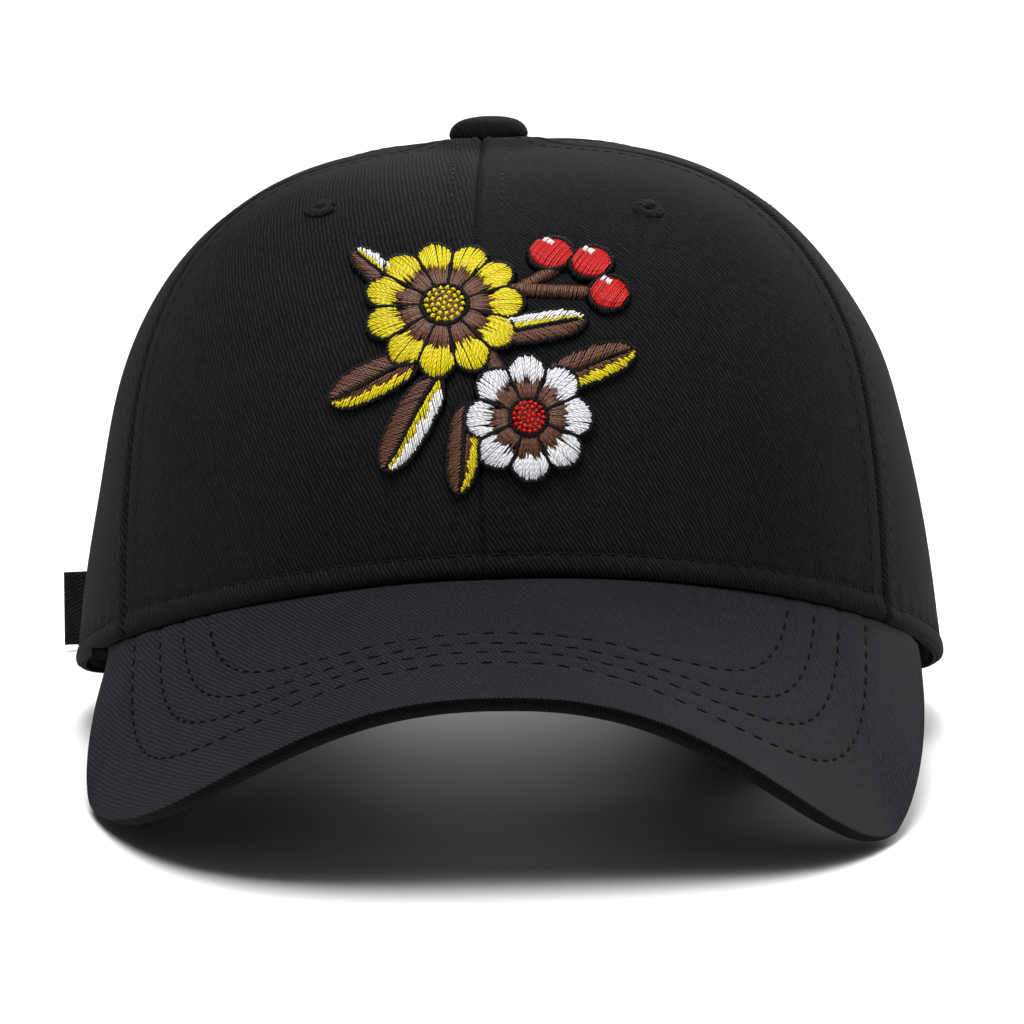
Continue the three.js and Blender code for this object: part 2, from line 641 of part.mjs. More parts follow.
// The origin goes to the floor below the middle of the whole cap
const extent = new THREE.Box3().setFromObject(cap, true);
const middle = extent.getCenter(new THREE.Vector3());
cap.position.set(-middle.x, -middle.y, -extent.min.z);

export default cap;
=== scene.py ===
"""A black six-panel cap in cotton twill with a curved, row-stitched peak, on a plain white floor.

Every cloth piece is a function of two parameters on a grid, worked out as whole arrays in millimetres
in the cap's own frame (middle of the crown on the floor, peak towards -Y) and moved into the part's
frame when it becomes a mesh. Threads are short tubes carried along paths on those surfaces.
"""

import math

import bpy
import numpy as np
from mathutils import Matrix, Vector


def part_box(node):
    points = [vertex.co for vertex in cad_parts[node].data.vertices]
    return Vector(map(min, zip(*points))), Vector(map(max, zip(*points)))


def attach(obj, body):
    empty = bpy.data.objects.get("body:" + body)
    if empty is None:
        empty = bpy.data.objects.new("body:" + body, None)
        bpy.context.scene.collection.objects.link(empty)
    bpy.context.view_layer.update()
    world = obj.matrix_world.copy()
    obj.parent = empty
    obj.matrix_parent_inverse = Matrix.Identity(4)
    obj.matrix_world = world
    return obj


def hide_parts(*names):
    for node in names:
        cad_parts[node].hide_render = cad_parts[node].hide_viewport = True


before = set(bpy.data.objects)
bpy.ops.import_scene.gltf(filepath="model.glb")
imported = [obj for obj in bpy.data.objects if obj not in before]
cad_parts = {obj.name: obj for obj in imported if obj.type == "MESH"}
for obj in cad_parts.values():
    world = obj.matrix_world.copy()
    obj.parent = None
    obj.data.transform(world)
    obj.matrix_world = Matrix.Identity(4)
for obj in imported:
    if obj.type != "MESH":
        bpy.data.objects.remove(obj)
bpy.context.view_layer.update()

# The crown, as in the part's source, in millimetres and degrees
HALF_WIDTH, HALF_LENGTH, CROWN_TOP, ROLL = 92.0, 98.0, 124.0, 1.7
SQUARENESS = {"front": 2.9, "corner": 0.5, "side": 3.0, "back": 2.6}
LEAN = {"front": 0.10, "corner": -0.07, "side": 0.115, "back": 0.13}
BUTTON_PLACE = (-0.017, 0.04)
BUTTON_SEAT = (-0.009, 0.04)
RIM_RISE, RIM_REST_TURN, RIM_SHAPE = 48.6, 140.0, 1.1
DENTS = [
    {"turn": -95.0, "up": 0.37, "reach": 30.0, "height": 0.19, "depth": 1.75},
    {"turn": 80.0, "up": 0.6, "reach": 30.0, "height": 0.12, "depth": -0.9},
]
WALL = 1.6
SEAM_GAP = 0.03
CLOTH_FAN = 0.5

# Seams and panels: the turns of a panel's two seams, and the place of its eyelet
PANELS = {
    "front_left": {"seams": (-2.4, -58.0), "eyelet": (-32.8, 0.421)},
    "front_right": {"seams": (-2.4, 57.0), "eyelet": (29.6, 0.45)},
    "side_left": {"seams": (-58.0, -120.0), "eyelet": (-97.0, 0.44)},
    "side_right": {"seams": (57.0, 119.0), "eyelet": (97.0, 0.45)},
    "back_left": {"seams": (-181.5, -120.0), "eyelet": (-149.0, 0.42)},
    "back_right": {"seams": (178.5, 119.0), "eyelet": (149.0, 0.43)},
}
SEAM_BACK, OPENING_HALF_TURN, OPENING_REACH = 178.5, 27.5, 0.27
FIRST_SHARE = 0.035
UNROLLED_RADIUS, UNROLLED_LENGTH = 94.0, 178.0
EYELET_HOLE = 1.75
FLOOR_CLEARANCE = 0.02

# The peak
PEAK_THICKNESS, PEAK_CORNER_TURN = 3.3, 64.0
PEAK_HALF_WIDTH, PEAK_REACH, PEAK_ROOT = 86.1, 126.0, 43.0
PEAK_SQUARENESS, PEAK_SQUARER_RIGHT = 2.36, 0.35
PEAK_SHIFT, PEAK_SKEW, PEAK_FULLNESS, PEAK_LEFT_TAPER = -2.5, 6.0, 4.2, 0.07
PEAK_FRONT, PEAK_TIP = 38.8, 2.02
PEAK_CORNER = {"left": 22.8, "right": 24.9}
PEAK_TIP_TURN = {"left": 69.4, "right": 58.8}
PEAK_ARCH_SHAPE, PEAK_CORNER_SHAPE = 1.86, 1.31

# Rows of stitches on the peak: half width and reach in front of the root, all of one plan shape
PEAK_ROWS = [
    {"half": 74.0, "reach": 105.6},
    {"half": 68.4, "reach": 99.3},
    {"half": 63.7, "reach": 94.0},
    {"half": 58.8, "reach": 87.9},
]
PEAK_ROW_SHAPE = 3.0
PEAK_STITCH, PEAK_STITCH_GAP, PEAK_THREAD = 4.7, 1.5, 0.27

# How far the peak's upper and lower faces stop short of its edge, which swells out beyond them
PEAK_LIP, PEAK_SET_BACK = 1.0, 2.5

# Stitches: their pitch, the gap between two, the thread's radius, and the rows' distances from the seams,
# from the rim and from the back opening. SEAM_ROLL is the width of cloth that rolls into a seam
SEAM_STITCH, STITCH_GAP, THREAD = 3.3, 0.9, 0.21
SEAM_ROW, RIM_ROW, ARCH_ROWS = 5.1, 4.7, (1.6, 6.2)
SEAM_ROLL = 1.8


def ramp(x, low, high):
    """0 below low, 1 above high, and 3t^2 - 2t^3 between."""
    t = np.clip((x - low) / (high - low), 0.0, 1.0)
    return t * t * (3.0 - 2.0 * t)


def bell(x, middle, width):
    """exp(-((x - middle) / width)^2)."""
    return np.exp(-(((x - middle) / width) ** 2))


def round_crown(turn, values):
    """Front, side and back values mixed by the squares of the turn's cosine and sine, with a corner term."""
    c = np.cos(turn)
    front, back = np.where(c > 0, c * c, 0.0), np.where(c < 0, c * c, 0.0)
    corner = np.where(c > 0, np.sin(2 * turn) ** 2, 0.0)
    side = values["side"] * (1 - front - back)
    return values["front"] * front + values["back"] * back + side + values["corner"] * corner


def rim_height(turn):
    """A raised cosine from the front to where the rim rests, less the crown's roll."""
    away = np.abs(np.arctan2(np.sin(turn), np.cos(turn)))
    lift = (1 + np.cos(np.pi * np.clip(away / math.radians(RIM_REST_TURN), 0, 1))) / 2
    level = HALF_WIDTH * np.sin(turn) * math.tan(math.radians(ROLL))
    return RIM_RISE * lift**RIM_SHAPE - level * (1 - lift)


def dent(turn, up):
    """Millimetres that the crown's sides are pressed in: bells of the turn and of the height."""
    degrees = np.degrees(turn)
    return sum(
        d["depth"] * bell(degrees, d["turn"], d["reach"]) * bell(up, d["up"], d["height"])
        for d in DENTS
    )


def crown(x, y):
    """The crown over a unit disc: each meridian is a superellipse from the top (middle) to the rim (edge),
    leaning in by a share of its height and dented a little at the sides, and the whole is rolled a little
    about the front-back axis."""
    turn = np.arctan2(x, -y)
    rise = (1 - np.hypot(x, y)) * np.pi / 2
    power = round_crown(turn, SQUARENESS)
    size = (np.abs(np.cos(rise)) ** power + np.abs(np.sin(rise)) ** power) ** (-1 / power)
    up = np.sin(rise) * size
    out = np.cos(rise) * size * (1 - round_crown(turn, LEAN) * up)
    rim = rim_height(turn)
    pressed = dent(turn, up)
    px = (HALF_WIDTH * out - pressed) * np.sin(turn)
    py = -(HALF_LENGTH * out - pressed) * np.cos(turn)
    pz = rim + (CROWN_TOP - rim) * up
    c, s = math.cos(math.radians(ROLL)), math.sin(math.radians(ROLL))
    return np.stack([px * c - pz * s, py, px * s + pz * c], -1)


def unit(v):
    """Vectors divided by their lengths."""
    return v / np.maximum(np.linalg.norm(v, axis=-1, keepdims=True), 1e-12)


def run_along(line):
    """Lengths along a line of points, from 0 at its first: the running sum of the steps."""
    return np.concatenate([[0], np.cumsum(np.linalg.norm(np.diff(line, axis=0), axis=-1))])


def places_on(line, run, places):
    """The points, or other values, of a line at places along its run, each coordinate read off straight."""
    return np.stack([np.interp(places, run, line[:, i]) for i in range(line.shape[1])], -1)


def crown_and_normal(x, y):
    """The crown's points and its outward normals, from differences over the disc."""
    step = 0.002
    across = crown(x + step, y) - crown(x - step, y)
    along = crown(x, y + step) - crown(x, y - step)
    return crown(x, y), unit(np.cross(across, along))


def crown_at(turn, share, above=0.0):
    """The crown's point on the line from the button (share 0) to the rim (share 1) at a turn in degrees,
    moved out along the normal. Returns points and normals."""
    turn, share = np.broadcast_arrays(np.radians(np.asarray(turn, float)), np.asarray(share, float))
    x = BUTTON_PLACE[0] + (np.sin(turn) - BUTTON_PLACE[0]) * share
    y = BUTTON_PLACE[1] + (-np.cos(turn) - BUTTON_PLACE[1]) * share
    point, normal = crown_and_normal(x, y)
    return point + normal * np.asarray(above, float)[..., None], normal


# The part's frame lies a little off the cap's own: the shift brings the CAD button over the crown's top
SEAT, SEAT_NORMAL = crown_and_normal(*np.array(BUTTON_SEAT))
BUTTON_BOX = np.array([list(corner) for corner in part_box("button")]) * 1000.0
SHIFT = BUTTON_BOX.mean(0) - (SEAT + SEAT_NORMAL * 1.9)
SHIFT[2] = 0.0


def into_mesh(name, points, faces, material, uv, replaces=()):
    """Puts points (mm, cap frame) and faces into an object at the origin, in metres in the part's frame.
    uv has a row for each point, in metres of cloth."""
    mesh = bpy.data.meshes.new(name)
    placed = (np.asarray(points, float).reshape(-1, 3) + SHIFT) / 1000.0
    mesh.from_pydata(placed.tolist(), [], [list(face) for face in faces])
    mesh.materials.append(material)
    layer = mesh.uv_layers.new(name="cloth")
    corner = np.zeros(len(mesh.loops), np.int32)
    mesh.loops.foreach_get("vertex_index", corner)
    layer.data.foreach_set("uv", np.asarray(uv, float).reshape(-1, 2)[corner].ravel())
    mesh.polygons.foreach_set("use_smooth", np.full(len(mesh.polygons), True))
    mesh.update()
    piece = bpy.data.objects.new(name, mesh)
    bpy.context.scene.collection.objects.link(piece)
    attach(piece, "root")
    if replaces:
        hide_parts(*replaces)
    return piece


def quads(rows, columns, base=0, flip=False):
    """Faces of a grid of rows by columns points, in rows."""
    at = base + np.arange(rows * columns).reshape(rows, columns)
    faces = np.stack([at[:-1, :-1], at[1:, :-1], at[1:, 1:], at[:-1, 1:]], -1).reshape(-1, 4)
    return faces[:, ::-1] if flip else faces


def edge_walls(kept, rows, columns):
    """Faces that join the outer and the inner grid wherever a kept cell borders on none."""
    outer = np.arange(rows * columns).reshape(rows, columns)
    inner = outer + rows * columns
    padded = np.pad(kept, 1)
    walls = []
    for shift_r, shift_c, a, b in (
        (-1, 0, (0, 1), (0, 0)),
        (1, 0, (1, 0), (1, 1)),
        (0, -1, (0, 0), (1, 0)),
        (0, 1, (1, 1), (0, 1)),
    ):
        near = padded[1 + shift_r : rows + shift_r, 1 + shift_c : columns + shift_c]
        r, c = np.nonzero(kept & ~near)
        first = (r + a[0], c + a[1])
        second = (r + b[0], c + b[1])
        walls.append(np.stack([outer[first], outer[second], inner[second], inner[first]], -1))
    return np.concatenate(walls)


def shell(outer, inner, kept=None):
    """Points and faces of a wall between two grids, closed along every edge of its kept cells."""
    rows, columns = outer.shape[:2]
    kept = np.ones((rows - 1, columns - 1), bool) if kept is None else kept
    chosen = kept.ravel()
    front = quads(rows, columns)[chosen]
    back = quads(rows, columns, rows * columns, flip=True)[chosen]
    faces = np.concatenate([front, back, edge_walls(kept, rows, columns)])
    return np.concatenate([outer.reshape(-1, 3), inner.reshape(-1, 3)]), faces


def outward(points, faces):
    """The faces turned round if the closed form that they bound has a negative volume."""
    a, b, c, d = (points[faces[:, i]] for i in range(4))
    volume = np.einsum("ij,ij->i", a, np.cross(b, c)).sum() + np.einsum("ij,ij->i", a, np.cross(c, d)).sum()
    return faces[:, ::-1] if volume < 0 else faces


def closed_round(points, rows, columns):
    """Faces of rings of points, each ring closed on itself, with one face over the first and the last."""
    at = np.arange(rows * columns).reshape(rows, columns)
    nxt = np.roll(at, -1, axis=1)
    faces = np.stack([at[:-1], nxt[:-1], nxt[1:], at[1:]], -1).reshape(-1, 4)
    ends = [list(at[0][::-1]), list(at[-1])]
    turned = outward(points, faces)
    if (turned[0] != faces[0]).any():
        ends = [end[::-1] for end in ends]
    return list(turned) + ends


# Materials


def new_material(name, roughness, metallic=0.0, sheen=0.0, sheen_roughness=0.5, specular=0.5):
    """A Principled material with its even values set on its own sockets."""
    material = bpy.data.materials.new(name)
    material.use_nodes = True
    nodes = material.node_tree.nodes
    shader = nodes["Principled BSDF"]
    shader.inputs["Roughness"].default_value = roughness
    shader.inputs["Metallic"].default_value = metallic
    shader.inputs["Sheen Weight"].default_value = sheen
    shader.inputs["Sheen Roughness"].default_value = sheen_roughness
    shader.inputs["Specular IOR Level"].default_value = specular
    return material, nodes, material.node_tree.links, shader


def math_node(nodes, links, operation, *values):
    """A Math node, its inputs set from numbers or linked from sockets. Returns its output."""
    node = nodes.new("ShaderNodeMath")
    node.operation = operation
    for i, value in enumerate(values):
        if isinstance(value, (int, float)):
            node.inputs[i].default_value = value
        else:
            links.new(value, node.inputs[i])
    return node.outputs[0]


def noise_node(nodes, links, vector, scale, detail=2.0, roughness=0.5):
    """A Noise Texture's single value."""
    node = nodes.new("ShaderNodeTexNoise")
    node.inputs["Scale"].default_value = scale
    node.inputs["Detail"].default_value = detail
    node.inputs["Roughness"].default_value = roughness
    links.new(vector, node.inputs["Vector"])
    return node.outputs["Fac"]


def give_relief(nodes, links, shader, height, strength, distance):
    """A height made the shader's normal, by a Bump node with a strength and a distance in metres."""
    bump = nodes.new("ShaderNodeBump")
    bump.inputs["Strength"].default_value = strength
    bump.inputs["Distance"].default_value = distance
    links.new(height, bump.inputs["Height"])
    links.new(bump.outputs["Normal"], shader.inputs["Normal"])


def give_color(nodes, links, shader, factor, dark, light):
    """The shader's colour, mixed from a dark and a light one by a factor."""
    mix = nodes.new("ShaderNodeMix")
    mix.data_type = "RGBA"
    mix.inputs["A"].default_value = (*dark, 1.0)
    mix.inputs["B"].default_value = (*light, 1.0)
    links.new(factor, mix.inputs["Factor"])
    links.new(mix.outputs["Result"], shader.inputs["Base Color"])


def twill(name, dark, light, pitch=0.85, slope=63.0, relief=0.0002, roughness=0.9):
    """Cotton twill: slanting ribs across the cloth map, uneven in width and broken along their length into
    floats of a few millimetres, with a fine fibre grain and specks of lint. Height = rib wave x floats +
    grain; the colour follows the height, so the grooves between the ribs are painted darker as shade and
    the crests lighter, and slow patches and the specks add to it."""
    material, nodes, links, shader = new_material(name, roughness, sheen=0.012, specular=0.05)
    place = nodes.new("ShaderNodeUVMap")
    place.uv_map = "cloth"
    cloth = place.outputs["UV"]
    turned = nodes.new("ShaderNodeMapping")
    turned.inputs["Rotation"].default_value = (0.0, 0.0, math.radians(slope))
    links.new(cloth, turned.inputs["Vector"])
    split = nodes.new("ShaderNodeSeparateXYZ")
    links.new(turned.outputs["Vector"], split.inputs["Vector"])
    slow = noise_node(nodes, links, cloth, 190.0, 1.0)
    quick = noise_node(nodes, links, cloth, 1100.0, 2.0, 0.6)
    phase = math_node(nodes, links, "MULTIPLY", split.outputs["Y"], 2000.0 * math.pi / pitch)
    bent = math_node(nodes, links, "MULTIPLY_ADD", slow, 5.0, phase)
    bent = math_node(nodes, links, "MULTIPLY_ADD", quick, 4.2, bent)
    rib = math_node(nodes, links, "MULTIPLY_ADD", math_node(nodes, links, "SINE", bent), 0.5, 0.5)
    stretched = nodes.new("ShaderNodeMapping")
    stretched.inputs["Scale"].default_value = (0.3, 1.0, 1.0)
    links.new(turned.outputs["Vector"], stretched.inputs["Vector"])
    floats = noise_node(nodes, links, stretched.outputs["Vector"], 1500.0, 2.0, 0.7)
    floats = math_node(nodes, links, "MULTIPLY_ADD", floats, 1.9, -0.4)
    grain = noise_node(nodes, links, cloth, 3600.0, 2.0, 0.7)
    woven = math_node(nodes, links, "MULTIPLY", rib, math_node(nodes, links, "MAXIMUM", floats, 0.08))
    height = math_node(nodes, links, "MULTIPLY_ADD", grain, 0.5, woven)
    give_relief(nodes, links, shader, height, 1.0, relief)
    patchy = noise_node(nodes, links, cloth, 38.0, 3.0, 0.6)
    # The rib's height made colour: painted shade in the grooves between the ribs, painted light on the crests
    tone = math_node(nodes, links, "MULTIPLY_ADD", woven, 0.85, -0.08)
    tone = math_node(nodes, links, "MULTIPLY_ADD", patchy, 0.24, tone)
    lint = noise_node(nodes, links, cloth, 1300.0, 1.0)
    specks = math_node(nodes, links, "MULTIPLY_ADD", lint, 4.0, -2.75)
    tone = math_node(nodes, links, "ADD", tone, math_node(nodes, links, "MAXIMUM", specks, 0.0))
    give_color(nodes, links, shader, tone, dark, light)
    return material


def thread_finish(name, color, lighter, roughness=0.5, sheen=0.02, specular=0.3, metres_per_ply=0.0011):
    """Sewing or embroidery thread: a fine twist that runs round the thread along its cloth map. The colour
    follows the twist's height: painted shade in its grooves, painted light on the crests of the plies.
    """
    material, nodes, links, shader = new_material(name, roughness, sheen=sheen, specular=specular)
    place = nodes.new("ShaderNodeUVMap")
    place.uv_map = "cloth"
    split = nodes.new("ShaderNodeSeparateXYZ")
    links.new(place.outputs["UV"], split.inputs["Vector"])
    along = math_node(nodes, links, "MULTIPLY", split.outputs["Y"], 2 * math.pi / metres_per_ply)
    round_it = math_node(nodes, links, "MULTIPLY", split.outputs["X"], 4 * math.pi)
    ply = math_node(nodes, links, "SINE", math_node(nodes, links, "ADD", along, round_it))
    height = math_node(nodes, links, "MULTIPLY_ADD", ply, 0.5, 0.5)
    give_relief(nodes, links, shader, height, 0.6, 0.00006)
    # Painted shade in the twist's grooves and painted light on its crests: the colour follows the ply height
    give_color(nodes, links, shader, height, color, lighter)
    return material


crown_twill = twill("black_twill", (0.0017, 0.0017, 0.0022), (0.0224, 0.0226, 0.0263), pitch=0.8)
peak_twill = twill("peak_twill", (0.0052, 0.0054, 0.0068), (0.0312, 0.0322, 0.038), pitch=0.82, slope=65.0)
# The same twill as the peak's, much darker: painted shade for the peak's lower face and edge band
painted_shade_under_twill = twill("painted_shade_under_twill", (0.0005, 0.0005, 0.0007), (0.0045, 0.0046, 0.0054), pitch=0.82, slope=65.0)
band_twill = twill("band_cotton", (0.005, 0.005, 0.006), (0.015, 0.015, 0.018), pitch=0.6, slope=45.0)
button_twill = twill(
    "button_twill", (0.0012, 0.0012, 0.0016), (0.011, 0.011, 0.013), pitch=0.7, relief=0.00008
)
black_thread = thread_finish(
    "black_thread", (0.0022, 0.0022, 0.0026), (0.009, 0.009, 0.0105),
    roughness=0.7, sheen=0.01, specular=0.06,
)
eyelet_thread = thread_finish(
    "eyelet_thread", (0.0035, 0.0035, 0.0042), (0.0145, 0.0145, 0.017),
    roughness=0.75, sheen=0.01, specular=0.05,
)
peak_thread = thread_finish(
    "peak_thread", (0.0006, 0.0006, 0.0007), (0.0034, 0.0034, 0.004),
    roughness=0.75, sheen=0.0, specular=0.03,
)


# The crown's panels


def from_opening(turn):
    """Degrees of turn from the middle of the back opening."""
    return np.abs(np.mod(turn - SEAM_BACK + 180.0, 360.0) - 180.0)


def arch_end(turn):
    """Share of the way to the rim at which a panel ends: 1, less a half ellipse over the back opening."""
    share = np.clip(from_opening(turn) / OPENING_HALF_TURN, 0, 1)
    return 1 - OPENING_REACH * np.sqrt(1 - share * share)


ARCH_AXES = (math.radians(OPENING_HALF_TURN) * UNROLLED_RADIUS, OPENING_REACH * UNROLLED_LENGTH)


def arch_distance(turn, share):
    """Millimetres from the back opening's edge, taken on the half ellipse that it is in the unrolled crown:
    the value of the ellipse less 1, divided by its slope."""
    x = np.radians(from_opening(turn)) * UNROLLED_RADIUS
    y = (1 - share) * UNROLLED_LENGTH
    a, b = ARCH_AXES
    g = np.sqrt((x / a) ** 2 + (y / b) ** 2)
    slope = np.sqrt((x / a**2) ** 2 + (y / b**2) ** 2) / np.maximum(g, 1e-6)
    return (g - 1) / np.maximum(slope, 1e-6)


def soft_waves(turn, share, seed):
    """Slow unevenness of stiffened cloth: the mean of seven long sine waves over the crown, within 1."""
    rng = np.random.default_rng(seed)
    total = np.zeros_like(share)
    for _ in range(7):
        around, down, start = rng.uniform(3, 14), rng.uniform(2, 12), rng.uniform(0, 6.28)
        total += np.sin(np.radians(turn) * around + share * down + start)
    return total / 7.0


def panel_grid(name, rows, columns):
    """Turns and shares of a panel's grid, its distances in millimetres from both seams and the rim, and its
    cloth map. Columns crowd towards the seams and, at the back, towards the end of the opening."""
    first, last = PANELS[name]["seams"]
    side = 1.0 if last > first else -1.0
    across = np.linspace(0.0, 1.0, columns)
    if name.startswith("back"):
        bent = 0.6
        near = np.clip(across / bent, 0, 1)
        edge = OPENING_HALF_TURN * np.sin(near**1.25 * np.pi / 2)
        far = np.clip((across - bent) / (1 - bent), 0, 1)
        rest = abs(last - first) - OPENING_HALF_TURN
        away = edge + rest * np.sin(far * math.radians(80)) / math.sin(math.radians(80))
        turn = first + side * away
    else:
        crowd = math.radians(81)
        turn = (first + last) / 2 + (last - first) / 2 * np.sin((2 * across - 1) * crowd) / math.sin(crowd)
    down = np.sin(np.linspace(0, 1, rows) * math.radians(72)) / math.sin(math.radians(72))
    turn, down = np.meshgrid(turn, down)
    share = FIRST_SHARE + (arch_end(turn) - FIRST_SHARE) * down
    beside = crown_at(np.stack([turn, turn + 0.2]), np.stack([share, share]))[0]
    radius = np.linalg.norm(np.diff(beside, axis=0)[0], axis=-1) / math.radians(0.2)
    gap = np.degrees(SEAM_GAP / 2 / np.maximum(radius, 1.0))
    squeeze = 1 - 2 * gap / abs(last - first)
    turn = (first + last) / 2 + (turn - (first + last) / 2) * squeeze
    from_first = np.radians(np.abs(turn - first)) * radius
    from_last = np.radians(np.abs(last - turn)) * radius
    fine = np.linspace(0, 1, 300)
    middle_turn = (first + last) / 2
    spine = crown_at(np.full(300, middle_turn), fine)[0]
    length = run_along(spine)
    down_mm = np.interp(share, fine, length)
    from_rim = length[-1] - down_mm
    bend = np.radians(turn - middle_turn) * radius / np.maximum(down_mm, 1.0) * CLOTH_FAN
    uv = np.stack([down_mm * np.sin(bend) / CLOTH_FAN, -down_mm * np.cos(bend)], -1) / 1000.0
    return turn, share, from_first, from_last, from_rim, down_mm, uv


def seam_relief(distance, along, drawn=1.0):
    """Height of the cloth beside a seam: it rolls into the seam in a quarter round, lies a little proud over
    the seam allowance as far as the row of stitches, and is drawn down at each stitch."""
    near = np.clip(distance / SEAM_ROLL, 0, 1)
    roll = -1.45 * (1 - np.sqrt(np.clip(1 - (1 - near) ** 2, 0, 1)))
    proud = 0.34 * (1 - ramp(distance, SEAM_ROW - 0.1, SEAM_ROW + 1.3))
    pull = 0.75 + 0.25 * np.cos(2 * np.pi * along / SEAM_STITCH)
    row = -0.34 * bell(distance, SEAM_ROW, 0.55) * pull
    pucker = 0.07 * np.cos(2 * np.pi * along / SEAM_STITCH) * bell(distance, SEAM_ROW, 2.4)
    return roll + (proud + row + pucker) * drawn


def collar(turn, share):
    """The swelling of the gathered cloth in front of the button: a bell about a ring round it."""
    point = crown_at(turn, share)[0]
    away = point[..., :2] - SEAT[:2]
    far = np.maximum(np.hypot(away[..., 0], away[..., 1]), 0.1)
    return 1.9 * bell(far, 11.6, np.where(far > 11.6, 5.5, 3.4)) * ramp(-away[..., 1] / far, -0.05, 0.95)


def panel_relief(name, turn, share, from_first, from_last, from_rim, down_mm, seed):
    """Height of a panel's outer face over the smooth crown, in millimetres."""
    full = ramp(down_mm, 9.0, 22.0)
    relief = soft_waves(turn, share, seed) * 0.45 * full
    for distance in (from_first, from_last):
        side_of_front = name.startswith("front") and distance is from_last
        rolled = seam_relief(distance, down_mm, 0.4 if side_of_front else 1.0)
        relief = relief + np.where(distance < SEAM_ROLL, rolled, rolled * full)
    relief = relief + collar(turn, share)
    round_rim = np.radians(turn) * HALF_WIDTH
    if name.startswith("back"):
        edge = np.minimum(np.where(share > 0.5, arch_distance(turn, share), 99.0), 99.0)
        taken = ramp(edge, 0.0, 14.0)
        relief += 0.45 * (1 - ramp(edge, 6.6, 7.4)) - 0.3 * bell(edge, 6.2, 0.5) - 0.3 * bell(edge, 1.6, 0.5)
        relief -= 0.9 * (1 - np.sqrt(np.clip(1 - (1 - np.clip(edge / 1.0, 0, 1)) ** 2, 0, 1)))
    else:
        taken = 1.0
    pull = 0.7 + 0.3 * np.cos(2 * np.pi * round_rim / SEAM_STITCH)
    hem = 0.55 * bell(from_rim, 2.1, 1.9) - 0.4 * bell(from_rim, RIM_ROW, 0.6) * pull
    tuck = -1.0 * (1 - np.sqrt(np.clip(1 - (1 - np.clip(from_rim / 1.1, 0, 1)) ** 2, 0, 1)))
    pucker = 0.12 * np.cos(2 * np.pi * round_rim / (2 * SEAM_STITCH) + 1.3 * np.sin(round_rim / 9.0))
    return relief + (hem + tuck + pucker * bell(from_rim, RIM_ROW + 1.5, 3.0)) * taken


FRONT_GRID, OTHER_GRID = (150, 112), (124, 92)


def grid_size(name):
    """Rows and columns of a panel's grid, finer at the front."""
    return FRONT_GRID if name.startswith("front") else OTHER_GRID


def dressed_panel(name):
    """A panel's grid, as panel_grid gives it, and the relief of its outer face with its own soft waves."""
    *grid, uv = panel_grid(name, *grid_size(name))
    return *grid, uv, panel_relief(name, *grid, list(PANELS).index(name) + 3)


def make_panel(name):
    """One panel: the outer grid raised by its relief, the inner grid a wall's thickness below it, both level
    with the rim at its end, and the cells inside the eyelet's hole left out and walled round."""
    turn, share, _, _, _, _, uv, relief = dressed_panel(name)
    outer, inner = crown_at(turn, share, relief)[0], crown_at(turn, share, -WALL)[0]
    at_rim = share > 0.9995
    rim_level = crown_at(turn, share)[0][..., 2]
    for face in (outer, inner):
        face[..., 2] = np.maximum(np.where(at_rim, rim_level, face[..., 2]), FLOOR_CLEARANCE)
    hole = crown_at(*PANELS[name]["eyelet"])[0]
    middle = (outer[:-1, :-1] + outer[1:, 1:] + outer[1:, :-1] + outer[:-1, 1:]) / 4
    kept = np.linalg.norm(middle - hole, axis=-1) > EYELET_HOLE
    points, faces = shell(outer, inner, kept)
    into_mesh(
        "panel_" + name + "_cloth",
        points,
        outward(points, faces),
        crown_twill,
        uv=np.concatenate([uv.reshape(-1, 2)] * 2),
        replaces=["panel_" + name],
    )


for panel_name in PANELS:
    make_panel(panel_name)


# The peak


def peak_edge(around):
    """The peak's outer edge: a superellipse in plan, squarer on the right and drawn in at the left corner,
    arched over the front, down to two resting tips and up again to the rear corners. around goes from -90
    to 90 degrees."""
    turn = np.radians(around)
    power = 2 / (PEAK_SQUARENESS + PEAK_SQUARER_RIGHT * np.sin(turn))

    def bulge(value):
        """The value's size raised to the edge's power, with its sign kept."""
        return np.sign(value) * np.abs(value) ** power

    tip = np.where(around >= 0, PEAK_TIP_TURN["right"], PEAK_TIP_TURN["left"])
    corner = np.where(around >= 0, PEAK_CORNER["right"], PEAK_CORNER["left"])
    away = np.abs(around)
    arch = np.cos(np.clip(away / tip, 0, 1) * np.pi / 2) ** PEAK_ARCH_SHAPE
    climb = np.clip((away - tip) / (90 - tip), 0, 1) ** PEAK_CORNER_SHAPE
    z = PEAK_TIP + np.where(away < tip, (PEAK_FRONT - PEAK_TIP) * arch, (corner - PEAK_TIP) * climb)
    behind_tip = np.maximum(-around - PEAK_TIP_TURN["left"], 0) / (90 - PEAK_TIP_TURN["left"])
    x = PEAK_SHIFT + PEAK_HALF_WIDTH * (1 - PEAK_LEFT_TAPER * behind_tip**1.5) * bulge(np.sin(turn))
    slanted = np.sin(2 * turn)
    y = -PEAK_ROOT - PEAK_REACH * bulge(np.cos(turn)) + PEAK_SKEW * slanted - PEAK_FULLNESS * slanted**2
    return np.stack([x, y, z], -1)


def peak_top(side, forward):
    """The peak's upper surface: straight lines from the crown's rim (forward 0) to its edge (forward 1)."""
    side, forward = np.broadcast_arrays(np.asarray(side, float), np.asarray(forward, float))
    rim = crown_at(PEAK_CORNER_TURN * side, np.ones_like(side))[0]
    root = np.stack([rim[..., 0] * 0.998, rim[..., 1] * 0.998, rim[..., 2] - 0.45], -1)
    return root + (peak_edge(90 * side) - root) * forward[..., None]


def peak_normal(side, forward):
    """Upward normal of the peak's upper surface, from its differences across and forward."""
    step = 0.004
    s = np.clip(side, -1 + step, 1 - step)
    across = peak_top(s + step, forward) - peak_top(s - step, forward)
    ahead = peak_top(s, np.ones_like(s)) - peak_top(s, np.zeros_like(s))
    normal = unit(np.cross(ahead, across))
    return normal * np.sign(normal[..., 2:3] + 1e-9)


